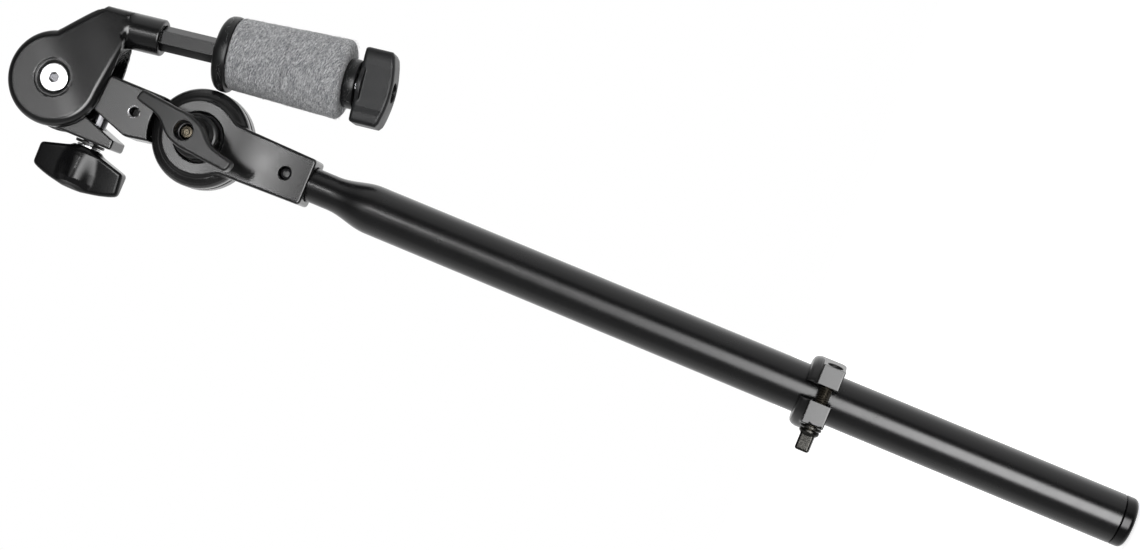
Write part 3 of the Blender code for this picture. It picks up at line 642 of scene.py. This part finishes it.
LEVER_SIDE = [(0, 7.1), (4, 6.9), (8, 5.95), (13.5, 5.0), (19, 3.8), (22.6, 3.1), (24.7, 2.5)]
LEVER_SIDE += [(25.5, 1.2), (25.6, -0.6), (25.2, -2.1), (23.8, -2.7), (19, -2.4), (14.5, -2.4)]
LEVER_SIDE += [(10.8, -3.3), (7.5, -5.1), (4, -6.7)]
LEVER = spline(LEVER_SIDE + [(-u, -v) for u, v in LEVER_SIDE], 5)
LEVER_HUB = [(-5, 29.5), (6.2, 29.5), (6.9, 28.5), (6.9, 22.0), (7.3, 17.8), (8.2, 16.2), (8.5, 15.5)]
LEVER_HUB += [(9.5, 15.2), (10.1, 14.5), (10.1, 8.0), (9.5, 7.3), (-5, 7.3)]
LEVER_SWING = math.radians(73)


def lever_shape(x, y, z):
    front, up = -y, z - JOINT_Z
    along = x * math.cos(LEVER_SWING) + up * math.sin(LEVER_SWING)
    across = x * math.sin(LEVER_SWING) - up * math.cos(LEVER_SWING)
    radius = length(x, up)
    flat = polygon(along, across, LEVER)
    dome = 0.6 * np.clip(1 - (along / 27) ** 2, 0, 1)
    arms = slab(flat, front - dome, 26.2, 33.2, 1.2)
    body = joined(arms, polygon(radius, front, LEVER_HUB), 2.4)
    body = without(body, slab(radius - JOINT_HOLE, front, 0, 40), 0.2)
    return without(body, slab(radius - 4.15, front, 27, 42), 0.5)


def make_lever():
    box = (-12.5, -35.4, 410), (12.5, -7, 465.5)
    lever = skin("joint_lever", LEVER_PAINT, lever_shape, box, 0.42)
    set_up(lever, "lever", "joint_lever_nut")


def make_joint_bolt():
    """The carriage bolt through the joint. Its end stays well down in the lever's hole."""
    profile = [(0, 28.2), (1.2, 28.2), (1.5, 27.9), (2.4, 27.8), (2.9, 27.2), (3.1, 26.4)]
    profile += [(3.1, -8.8), (8.0, -8.8), (8.0, -9.8), (7.4, -11.2), (6.2, -12.0), (4.5, -12.6)]
    profile += [(2.3, -12.8), (0, -12.85)]
    bolt = lathe("joint_carriage_bolt", WARM_STEEL, profile, (0, 0, JOINT_Z), (0, -1, 0), 64)
    set_up(bolt, "boom", "joint_bolt")


# Block


BLOCK = [(10.9, JOINT_Z + 6, 0), (10.9, HUB_Z - 22.5, 1.2), (7.5, HUB_Z - 16, 0)]
BLOCK += [(-6.0, HUB_Z - 10, 0), (-20.4, HUB_Z, 0), (-20.4, HUB_Z - 34.6, 1.4)]
BLOCK += [(-15.7, HUB_Z - 34.6, 0.6), (-12.6, HUB_Z - 36.4, 1.0), (-10.2, JOINT_Z + 20, 0)]
BLOCK += [(-9.5, JOINT_Z + 6, 0)]
BLOCK = rounded(BLOCK)
REAR_RIM = [(-5, -0.8), (22.1, -0.8), (22.4, -1.1), (22.4, -7.0), (21.9, -8.0), (20.9, -8.6), (-5, -8.6)]


def from_small_hole(x, z):
    """Distance to the middle of the block's small front hole."""
    return length(x + 0.5, z - (JOINT_Z + 31.3))


def block_shape(x, y, z):
    front, up, rise = -y, z - JOINT_Z, z - HUB_Z
    joint, hub = length(x, up), length(x, rise)
    body = slab(polygon(x, z, BLOCK), y, -9.0, 9.0, 1.1)
    body = without(body, slab(joint - DISC_GAP, front, -1.0, 14), 0.4)
    body = joined(body, slab(hub - 20.3, y, -8.7, 8.7, 0.8), 1.0)
    body = joined(body, polygon(joint, front, REAR_RIM), 1.0)
    body = without(body, slab(hub - 14.0, y, -20, 20), 0.6)
    lean = math.atan2(4.7, 13.8)
    dx, dz = x + 9.7, z - (HUB_Z - 23.2)
    across = dx * math.cos(lean) - dz * math.sin(lean)
    along = dx * math.sin(lean) + dz * math.cos(lean)
    slit = np.maximum(np.abs(across) - 2.3, np.maximum(-30 - along, along - 11))
    body = without(body, slit, 0.7)
    body = without(body, slab(joint - 5.9, front, -6, 4), 0.3)
    body = without(body, slab(joint - JOINT_HOLE, front, -14, 4), 0.3)
    square = np.maximum(np.abs(x), np.abs(up)) - 3.7
    body = without(body, slab(square, front, -13, -6.4), 0.3)
    bolt = length(y, z - TILT_BOLT_Z)
    body = without(body, slab(bolt - 3.9, x, -32, 6), 0.5)
    small = from_small_hole(x, z)
    body = without(body, slab(small - 2.1, front, 3, 14), 0.2)
    return without(body, np.maximum(small - (front - 9.0) * 0.9 - 2.55, 6 - front), 0.1)


def bare_chamfer(x, y, z):
    return 2.1 < from_small_hole(x, z) < 2.62 and -9.05 < y < -8.3


def in_small_hole(x, y, z):
    return from_small_hole(x, z) < 2.15 and -8.5 < y < -2.5


def make_block():
    box = (-22.6, -9.1, 415), (22.6, 9.1, 527.5)
    block = skin("boom_knuckle", CAST_PAINT, block_shape, box, 0.5)
    recolour(block, BARE_CAST, bare_chamfer)
    # The faces inside the small front hole get the near-black paint: painted shade in the hole.
    recolour(block, RECESS_SHADE_PAINT, in_small_hole)
    set_up(block, "boom", "boom_block")


WING_PLACES = [18 - 1.5 * i for i in range(25)]
WING_BELLY = [(place, 43.0 - 4.2 * (place / 20.9) ** 2, 0) for place in WING_PLACES]
WING = [(-20.9, 38.6, 2.4), (-20.3, 28.4, 2.2), (-8, 25.0, 5), (8, 25.0, 5), (20.3, 28.4, 2.2)]
WING = rounded(WING + [(20.9, 38.6, 2.4)] + WING_BELLY)
WING_HUB = [(-5, 41.4), (4.4, 41.4), (6.3, 40.4), (7.4, 38.2), (7.8, 34.0), (7.6, 28.0), (7.0, 25.2)]
WING_HUB += [(6.6, 24.0), (6.2, 23.6), (-5, 23.6)]


def wing_shape(x, y, z):
    out, up = -x, z - TILT_BOLT_Z
    stud = length(y, up)
    thin = 0.2 * np.clip(out - 26, 0, 20) + 0.004 * up**2
    blade = slab(polygon(up, out, WING), y + thin * np.sign(y), -6.4, 6.4, 1.7)
    body = joined(blade, polygon(stud, out, WING_HUB), 3.2)
    return without(body, slab(stud - 3.9, out, 15, 36.3), 0.3)


def make_tilt_wing():
    box = (-43.4, -8.2, TILT_BOLT_Z - 21.2), (-23.4, 8.2, TILT_BOLT_Z + 21.2)
    wing = skin("tilt_wing_knob", PLASTIC, wing_shape, box, 0.45)
    set_up(wing, "tilt_wing_set", "tilt_wing")


# Tilter head


def hexagon(across, upright):
    """How far points lie out from a hexagon's middle, square to its nearest flat."""
    return np.maximum(np.abs(upright), np.abs(upright) / 2 + np.abs(across) * math.sqrt(3) / 2)


def cheek_outline(x, z):
    """A cheek's outline, with the lower corner of its tail at (x, z) from the hub."""
    round_end = arc((0, HUB_Z), 21.5, 20, 272, 90)
    tail = [(0, HUB_Z - 21.5, 0), (x, HUB_Z + z, 3.2), (41.0, HUB_Z - 20.0, 3.0)]
    tail += [(39.4, HUB_Z - 7.0, 7.0), (20.4, HUB_Z + 7.2, 0)]
    return round_end + rounded(tail)[1:-1]


FRONT_CHEEK = cheek_outline(35.8, -24.4)
REAR_CHEEK = cheek_outline(33.0, -21.6)
WEB = arc((0, HUB_Z), 21.6, 20, -44, 24) + [(27.0, HUB_Z - 20.6), (34.8, HUB_Z - 22.6)]
WEB += [(40.6, HUB_Z - 19.6), (38.9, HUB_Z - 8.0), (27.0, HUB_Z + 1.2)]
CHEEK_INSIDE = 9.3
CHEEK_OUTSIDE = 15.0


def head_shape(x, y, z):
    rise = z - HUB_Z
    hub = length(x, rise)
    along, side = on_post(x, z)
    round_post = length(side, y)
    down_tail = np.clip(x * 0.716 - rise * 0.698 + 5.0, 0, 44)
    tapered = y + 0.0036 * down_tail**2 * np.sign(y)
    front = slab(polygon(x, z, FRONT_CHEEK), tapered, -CHEEK_OUTSIDE, CHEEK_OUTSIDE, 3.4)
    rear = slab(polygon(x, z, REAR_CHEEK), tapered, -CHEEK_OUTSIDE, CHEEK_OUTSIDE, 3.4)
    body = np.minimum(without(front, -CHEEK_INSIDE - y, 0.5), without(rear, y - CHEEK_INSIDE, 0.5))
    body = np.minimum(body, slab(polygon(x, z, WEB), tapered, -CHEEK_OUTSIDE, CHEEK_OUTSIDE, 3.0))
    body = joined(body, slab(round_post - 8.3, along, -24, 0.6, 1.0), 0.9)
    body = without(body, slab(hub - 20.9, y, -CHEEK_INSIDE, CHEEK_INSIDE), 0.5)
    body = without(body, slab(hub - 8.6, y, -20, -14.5), 0.3)
    cone = hub - 3.4 - np.maximum(-y - 9.9, 0) * 0.875
    body = without(body, np.maximum(cone, y + 9), 0.2)
    body = without(body, slab(hub - 3.4, y, -20, 20), 0.2)
    body = without(body, slab(hexagon(rise, x) - 5.3, y, 10.7, 20), 0.3)
    return without(body, slab(hexagon(side, y) - 5.3, along, -11.5, 6), 0.4)


def make_head():
    box = (-21.7, -15.2, 471), (43.6, 15.2, 528.8)
    head = skin("tilter_casting", CAST_PAINT, head_shape, box, 0.55)
    set_up(head, "tilter", "tilter_head")


def screw_shape(x, y, z):
    rise = z - HUB_Z
    profile = [(-5, 14.4), (6.0, 14.4), (6.35, 14.25), (6.5, 13.9), (6.5, 13.5), (3.0, 10.3)]
    profile += [(3.0, -14.4), (-5, -14.4)]
    body = polygon(length(x, rise), -y, profile)
    return without(body, slab(hexagon(x, rise) - 2.05, -y, 11.4, 18), 0.25)


def in_socket(x, y, z):
    return length(x, z - HUB_Z) < 2.6 and -14.25 < y < -10.5


def make_screw():
    box = (-6.7, -14.7, HUB_Z - 6.7), (6.7, 14.6, HUB_Z + 6.7)
    screw = skin("hub_screw", CHROME, screw_shape, box, 0.2, 0.5)
    recolour(screw, SOCKET_STEEL, in_socket)
    set_up(screw, "tilter", "pivot_screw")


# Cymbal post


def make_cup():
    profile = [(4.3, 31.5), (6.4, 31.5), (6.4, 26.8), (9.0, 26.8), (12.5, 27.4), (14.8, 28.0)]
    profile += [(16.1, 28.9), (16.9, 30.1), (17.2, 31.4), (17.2, 33.4), (16.9, 34.1), (16.2, 34.4)]
    profile += [(4.3, 34.4)]
    cup = lathe("felt_seat", CUP_PLASTIC, profile[::-1], POST_START, POST_AXIS)
    set_up(cup, "tilter", "seat_cup")


def make_collar():
    profile = [(4.3, 86.3), (10.2, 86.3), (10.9, 86.7), (11.2, 87.5), (11.2, 90.6), (10.9, 91.4)]
    profile += [(10.2, 91.8), (7.6, 91.8), (7.6, 88.3), (4.3, 88.3)]
    collar = lathe("quick_collar", CUP_PLASTIC, profile[::-1], POST_START, POST_AXIS)
    set_up(collar, "collar", "nut_collar")


NUT_DOME = [(17.2 * i / 20, 108.0 - 2.8 * (i / 20) ** 2) for i in range(-18, 19)]
NUT_SLAB = [(17.2, 104.4), (17.2, 93.6), (16.9, 92.7), (16.2, 92.2)]
NUT = NUT_SLAB + [(-across, along) for across, along in NUT_SLAB[::-1]] + NUT_DOME


def nut_shape(x, y, z):
    along, side = on_post(x, z)
    crown = 0.3 * np.clip((np.abs(side) - 9.6) / 2.6, 0, 1)
    tip = 0.9 * np.clip((np.abs(side) - 12.5) / 5.0, 0, 1) ** 2
    squeezed = y * (1 + (tip - crown) / 7.2)
    body = slab(polygon(side, along, NUT), squeezed, -7.4, 7.4, 1.7)
    stem = length(side, y)
    body = joined(body, slab(stem - 10.4, along, 92.5, 94.6, 0.5), 0.6)
    body = without(body, slab(stem - 6.68, along, 80, 104.0), 0.05)
    return without(body, slab(stem - 4.5, along, 80, 130), 0.5)


def make_nut():
    box = (25, -10.6, 360), (72, 10.6, 388)
    nut = skin("cymbal_nut_wing", CHARCOAL, nut_shape, box, 0.45)
    set_up(nut, "wing_nut", "cymbal_wing_nut")


def uneven(angle, height, seed):
    """Unevenness round a felt, from about -1 to 1, the same each time for the same seed."""
    value = 0.0
    waves = (2, 0.11), (3, 0.23), (5, 0.31), (8, 0.47), (13, 0.9), (21, 1.4)
    for i, (turns, pitch) in enumerate(waves):
        value += math.sin(turns * angle + pitch * height + seed * (i + 1) * 1.7) / (1.5 + i * 0.5)
    return value / 2.2


FELT_WAVE = 0.16
FIBRES_PER_MM = 62


def felt_radius(height):
    """The felts widen by 1.9 mm from the cup to the collar."""
    return 16.2 + (height - 34.4) / 51.6 * 1.9


def make_felt(name, node, body, low, high, seed, soft_low, soft_high):
    """A felt washer whose corners are soft where its ends show and tight where it meets the other one."""
    outer = []
    for i in range(41):
        height = high + (low - high) * (i / 40)
        ends = max(0.0, 1 - (high - height) / soft_high) ** 2.4 * soft_high * 0.75
        ends += max(0.0, 1 - (height - low) / soft_low) ** 2.4 * soft_low * 0.75
        outer.append((felt_radius(height) - ends, height))
    top = [(9.0, high), (11.5, high), (14.0, high)]
    bottom = [(14.0, low), (11.5, low), (9.0, low)]
    inner = [(7.4, low), (7.4, (low + high) / 2), (7.4, high)]
    profile = top + outer + bottom + inner

    def wobble(angle, radius, height):
        return FELT_WAVE * uneven(angle, height, seed) if radius > 12 else 0.0

    origin = POST_START + POST_SIDE * 0.95
    felt = lathe(name, WOOL, profile, origin, POST_AXIS, 144, wobble)
    set_up(felt, body, node)
    make_fuzz(f"{name}_fuzz", body, low, high, origin, seed)


def make_fuzz(name, body, low, high, origin, seed, radius=felt_radius, count=None, reach=1.0):
    """Short wool fibres that lie on the felt, mostly round it, with their ends lifting off."""
    count = count or int((high - low) * FIBRES_PER_MM)
    random = np.random.default_rng(seed)
    bm = bmesh.new()
    axis = Vector(POST_AXIS)
    across = Vector(POST_SIDE)
    third = axis.cross(across)
    bend_radius = 17
    for _ in range(count):
        height = random.uniform(low + 0.1, high - 0.1)
        angle = random.uniform(0, 2 * math.pi)
        long = random.uniform(1.2, 4.2) * reach
        tilt = random.normal(0, 0.6 * reach)
        lift = random.uniform(0.02, 0.2) if random.random() < 0.9 else random.uniform(0.3, 0.6)
        bend = random.normal(0, 0.35)
        thick = random.uniform(0.018, 0.034)
        rings = []
        for step in range(4):
            t = step / 3 - 0.5
            turn = angle + t * long * math.cos(tilt) / bend_radius
            rise = height + t * long * math.sin(tilt) + bend * (t * t - 0.25)
            rise = min(max(rise, low + 0.05), high - 0.05)
            out = radius(rise) + 0.03 + lift * abs(2 * t) ** 1.5 + FELT_WAVE * uneven(turn, rise, seed)
            way = across * math.cos(turn) + third * math.sin(turn)
            centre = Vector(origin) + axis * rise + way * out
            ring = []
            for corner in range(3):
                spin = 2 * math.pi * corner / 3
                offset = way * math.cos(spin) + axis * math.sin(spin)
                ring.append(bm.verts.new((centre + offset * thick) * MM))
            rings.append(ring)
        join_rings(bm, rings)
    fuzz = from_bmesh(name, bm, WOOL)
    fuzz.data.shade_smooth()
    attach(fuzz, body)


def make_lint():
    """Stray fibres that the felts have shed on the collar and on the cup's rim."""
    make_fuzz("collar_lint", "collar", 87.4, 90.6, POST_START, 5, lambda _: 11.3, 60, 1.3)
    make_fuzz("cup_lint", "tilter", 31.4, 33.4, POST_START, 6, lambda _: 17.3, 70, 1.0)


# Memory lock


def jaw_shape(side, lug_low, lug_high, gaps):
    """Half of the collar, on side 1 or -1, with its lug and hinge. The gaps take the other's knuckles."""
    profile = [(11.4, LOCK_TOP), (13.6, LOCK_TOP), (14.9, LOCK_TOP - 0.5), (15.8, LOCK_TOP - 1.6)]
    profile += [(16.3, LOCK_TOP - 3.4), (16.3, LOCK_BOTTOM + 1.0), (15.6, LOCK_BOTTOM)]
    profile += [(11.4, LOCK_BOTTOM)]
    split = 0.45 * side
    inner = lug_low if side > 0 else lug_high
    lug_outline = [(lug_low, -19.6), (lug_high, -19.6), (lug_high, -8.0), (lug_low, -8.0)]
    if side > 0:
        lug_outline[2:3] = [(15.9, -6.5), (15.0, -4.0)]

    def shape(x, y, z):
        body = polygon(length(x, y), z, profile)
        body = without(body, np.maximum((x - inner) * side, y + 1.0), 0.8)
        lug = slab(polygon(x, y, lug_outline), z, LOCK_BOTTOM, 146.2, 0.55)
        body = joined(body, lug, 1.2)
        body = without(body, (x - split) * side, 0.4)
        low, high = (-3.6, 12.5, LOCK_BOTTOM + 0.2), (3.6, LOCK_HINGE_Y, LOCK_TOP - 0.2)
        arm = round_box(x, y, z, low, high, 0.4)
        hinge = length(x, y - LOCK_HINGE_Y)
        barrel = slab(hinge - 3.9, z, LOCK_BOTTOM + 0.2, LOCK_TOP - 0.2, 0.5)
        body = joined(body, joined(arm, barrel, 0.6), 0.6)
        for bottom, top in gaps:
            body = without(body, round_box(x, y, z, (-5, 11.0, bottom), (5, 25, top), 0.0), 0.3)
        body = without(body, slab(length(x, y) - 11.4, z, 100, 200), 0.4)
        body = without(body, slab(hinge - 1.9, z, 100, 200), 0.2)
        bolt = length(y - LOCK_BOLT_Y, z - LOCK_BOLT_Z)
        return without(body, slab(bolt - 3.4, x, -40, 40), 0.3)

    return shape


def in_bolt_hole(x, y, z):
    return length(y - LOCK_BOLT_Y, z - LOCK_BOLT_Z) < 3.5 and x > 6


def make_lock():
    ends = (130, 140.95), (145.85, 160)
    shape = jaw_shape(1, 4.15, 12.9, ends)
    box = (-3.8, -19.8, LOCK_BOTTOM - 0.1), (16.5, 21.8, LOCK_TOP + 0.1)
    right_jaw = skin("lock_right_jaw", CAST_PAINT, shape, box, 0.4)
    # The faces inside the bolt hole get the near-black paint: painted shade in the slot.
    recolour(right_jaw, RECESS_SHADE_PAINT, in_bolt_hole)
    set_up(right_jaw, "lock", "lock_upper_jaw")
    middle = (140.65, 146.15)
    shape = jaw_shape(-1, -13.5, -3.4, [middle])
    box = (-16.5, -19.8, LOCK_BOTTOM - 0.1), (3.8, 21.8, LOCK_TOP + 0.1)
    left_jaw = skin("lock_left_jaw", CAST_PAINT, shape, box, 0.4)
    set_up(left_jaw, "lock_jaw", "lock_lower_jaw")


def make_bolt_thread():
    """The shank of the lock's bolt, with a rolled thread of 1 mm pitch up to its neck."""
    tip, neck, end = -7.6, 12.4, 15.4
    bm = bmesh.new()
    steps, rows = 40, []
    for place in np.arange(tip, end, 0.11):
        ring = []
        for i in range(steps):
            angle = 2 * math.pi * i / steps
            phase = (place - i / steps) % 1.0
            groove = 0.36 * (1 - abs(2 * phase - 1)) ** 0.8
            radius = 2.88 - (groove if place < neck else 0.0)
            radius = min(radius, 2.3 + max(place - tip, 0) * 0.8)
            y = LOCK_BOLT_Y + radius * math.cos(angle)
            z = LOCK_BOLT_Z + radius * math.sin(angle)
            ring.append(bm.verts.new(Vector((-place, y, z)) * MM))
        rows.append(ring)
    join_rings(bm, rows)
    bmesh.ops.recalc_face_normals(bm, faces=bm.faces)
    thread = from_bmesh("lock_bolt_thread", bm, THREAD_STEEL)
    thread.data.shade_smooth()
    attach(thread, "lock_bolt")


def bolt_head_shape(x, y, z):
    """A flange and a square head that is turned a little."""
    turn = math.radians(-7)
    cosine, sine = math.cos(turn), math.sin(turn)
    dy, dz = y - LOCK_BOLT_Y, z - LOCK_BOLT_Z
    flange = [(-5, 15.3), (4.1, 15.3), (4.4, 15.6), (4.4, 16.6), (3.9, 17.2), (3.2, 17.7), (-5, 17.7)]
    flange = polygon(length(dy, dz), -x, flange)
    across, up = dy * cosine + dz * sine, dz * cosine - dy * sine
    square = round_box(x, across, up, (-25.0, -3.1, -3.1), (-15.6, 3.1, 3.1), 1.1)
    return joined(flange, square, 0.6)


def make_bolt_head():
    reach = 4.6
    low = (-25.2, LOCK_BOLT_Y - reach, LOCK_BOLT_Z - reach)
    high = (-15.2, LOCK_BOLT_Y + reach, LOCK_BOLT_Z + reach)
    head = skin("lock_bolt_head", KEY_STEEL, bolt_head_shape, (low, high), 0.3, 0.5)
    set_up(head, "lock_bolt", "lock_key_bolt")


# CAD nodes that keep their own shape


def finish_nodes():
    looks = {
        ZINC: "joint_spring joint_flat_washer tilt_washer pivot_nut lock_hinge_pin",
        CHROME: "nut_spring nut_insert",
        SOCKET_STEEL: "tilt_bolt_stud",
        KEY_STEEL: "lock_washer",
        CAST_PAINT: "tilt_spacer",
        POST_PAINT: "cymbal_post",
        ALLOY: "hub_sleeve",
        FIBRE_SHEET: "joint_friction_washer",
        CUP_PLASTIC: "post_sleeve",
    }
    for look, names in looks.items():
        for name in names.split():
            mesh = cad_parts[name].data
            mesh.materials.clear()
            mesh.materials.append(look)


# Camera, floor and light


# The image's width and the focal length share a unit, and the camera's place is in metres.
IMAGE_WIDTH = 1140
FOCAL_LENGTH = 2000
CAMERA_PLACE = (-0.01106, -0.87393, 0.18235)
IMAGE_RIGHT = (0.3843, 0.0765, -0.9200)
IMAGE_DOWN = (-0.9230, 0.0538, -0.3810)


def make_camera():
    data = bpy.data.cameras.new("camera")
    data.sensor_width = 36
    data.lens = FOCAL_LENGTH / IMAGE_WIDTH * data.sensor_width
    data.clip_start, data.clip_end = 0.01, 50
    camera = bpy.data.objects.new("camera", data)
    bpy.context.scene.collection.objects.link(camera)
    right = Vector(IMAGE_RIGHT)
    forward = right.cross(Vector(IMAGE_DOWN)).normalized()
    down = forward.cross(right).normalized()
    turn = Matrix((right.normalized(), -down, -forward)).transposed()
    camera.matrix_world = Matrix.Translation(CAMERA_PLACE) @ turn.to_4x4()
    bpy.context.scene.camera = camera


def make_floor():
    """A pale floor that the camera sees as white and that reflections look through."""
    bm = bmesh.new()
    bmesh.ops.create_grid(bm, x_segments=8, y_segments=8, size=6)
    look = Look("pale_floor", (0.9, 0.9, 0.9), 0.9)
    look.use("Roughness", look.span(look.noise(look.place(), 0.02), 0.3, 0.7, 0.85, 0.95))
    look.set("Emission Color", (1, 1, 1, 1))
    path = look.node("ShaderNodeLightPath")
    look.use("Emission Strength", look.math("MULTIPLY", path.outputs["Is Camera Ray"], 0.75))
    clear = look.node("ShaderNodeBsdfTransparent").outputs[0]
    surface = look.mixed_shaders(path.outputs["Is Glossy Ray"], look.shader.outputs[0], clear)
    look.feed(look.tree.nodes["Material Output"].inputs["Surface"], surface)
    floor = from_bmesh("floor", bm, look.made)
    floor.location.z = -0.0004


class Room(Nodes):
    """The studio round the object, as brightness by direction. Front is -Y."""

    def __init__(self):
        world = bpy.data.worlds.new("studio")
        bpy.context.scene.world = world
        world.use_nodes = True
        super().__init__(world.node_tree)
        self.tree.nodes.clear()
        where = self.node("ShaderNodeTexCoord").outputs["Generated"]
        x, y, z = self.node("ShaderNodeSeparateXYZ", Vector=where).outputs
        self.elevation = self.math("DEGREES", self.math("ARCSINE", z))
        front = self.math("MULTIPLY", y, -1.0)
        self.azimuth = self.math("DEGREES", self.math("ARCTAN2", x, front))

    def curve(self, angle, points, top=1):
        """Brightness along an angle in degrees, eased between (angle, brightness) points below a top."""
        start, end = points[0][0], points[-1][0]
        share = self.math("DIVIDE", self.math("SUBTRACT", angle, start), end - start)
        ramp = self.node("ShaderNodeValToRGB")
        self.feed(ramp.inputs[0], share)
        ramp.color_ramp.interpolation = "EASE"
        stops = ramp.color_ramp.elements
        for i, (place, value) in enumerate(points):
            if 0 < i < len(points) - 1:
                stop = stops.new((place - start) / (end - start))
            else:
                stop = stops[0] if i == 0 else stops[len(stops) - 1]
            stop.color = (value / top,) * 3 + (1,)
        return self.math("MULTIPLY", ramp.outputs[0], top)


# Points of (angle in degrees, brightness). SIDES runs along the azimuth, the others along the elevation.
LOW_BOX = [(-40, 0), (-26, 9), (-12, 13.4), (-6, 13), (-3.5, 10.6), (-1, 6), (2.5, 1.6), (6, 0.5)]
LOW_BOX += [(12, 0.5), (15, 0)]
HIGH_BOX = [(12, 0), (16, 0.9), (17.5, 1.7), (19.5, 2.4), (23, 2.3), (30, 1.5), (42, 0)]
BRIGHT_PATCH = [(11, 0), (12.8, 27), (14.6, 37), (16, 0)]
SIDES = [(-180, 1.1), (-115, 1.0), (-88, 0.75), (-68, 0.35), (-34, 0.26), (-20, 0.1), (20, 0.08)]
SIDES += [(36, 0.1), (52, 0.62), (90, 0.95), (130, 1.45), (180, 1.1)]
HEIGHTS = [(-90, 0.8), (-30, 1.0), (28, 1.0), (48, 0.4), (90, 0.25)]


def make_world():
    """White for the camera. For light and reflections: soft boxes in front, white behind, dark above."""
    room = Room()
    off = room.math("ABSOLUTE", room.azimuth)
    wide = room.curve(room.azimuth, [(-29, 0), (-17, 1), (12, 1), (21, 0)])
    left = room.curve(room.azimuth, [(-28, 0), (-14, 1), (1.5, 1), (6, 0.4), (14, 0)])
    near = room.curve(off, [(0, 1), (2, 1), (5, 0)])
    total = room.math("MULTIPLY", room.curve(room.elevation, LOW_BOX, 14), wide)
    high = room.math("MULTIPLY", room.curve(room.elevation, HIGH_BOX, 10), left)
    patch = room.math("MULTIPLY", room.curve(room.elevation, BRIGHT_PATCH, 37), near)
    sides, heights = room.curve(room.azimuth, SIDES, 2), room.curve(room.elevation, HEIGHTS)
    around = room.math("MULTIPLY", sides, heights)
    for more in (high, patch, around):
        total = room.math("ADD", total, more)
    white = (1, 1, 1, 1)
    studio = room.node("ShaderNodeBackground", Color=white, Strength=total).outputs[0]
    seen = room.node("ShaderNodeBackground", Color=white).outputs[0]
    path = room.node("ShaderNodeLightPath")
    surface = room.mixed_shaders(path.outputs["Is Camera Ray"], studio, seen)
    room.node("ShaderNodeOutputWorld", Surface=surface)


make_tube()
make_plug()
make_bracket()
make_roll_pin()
make_lever()
make_joint_bolt()
make_block()
make_tilt_wing()
make_head()
make_screw()
make_cup()
make_collar()
make_nut()
make_felt("felt_below", "lower_felt", "tilter", 34.5, 60.38, 3, 1.0, 0.5)
make_felt("felt_above", "upper_felt", "top_felt", 60.44, 86.2, 8, 0.5, 2.4)
make_lint()
make_lock()
make_bolt_thread()
make_bolt_head()
finish_nodes()
make_camera()
make_floor()
make_world()
bpy.context.scene.view_settings.view_transform = "Standard"
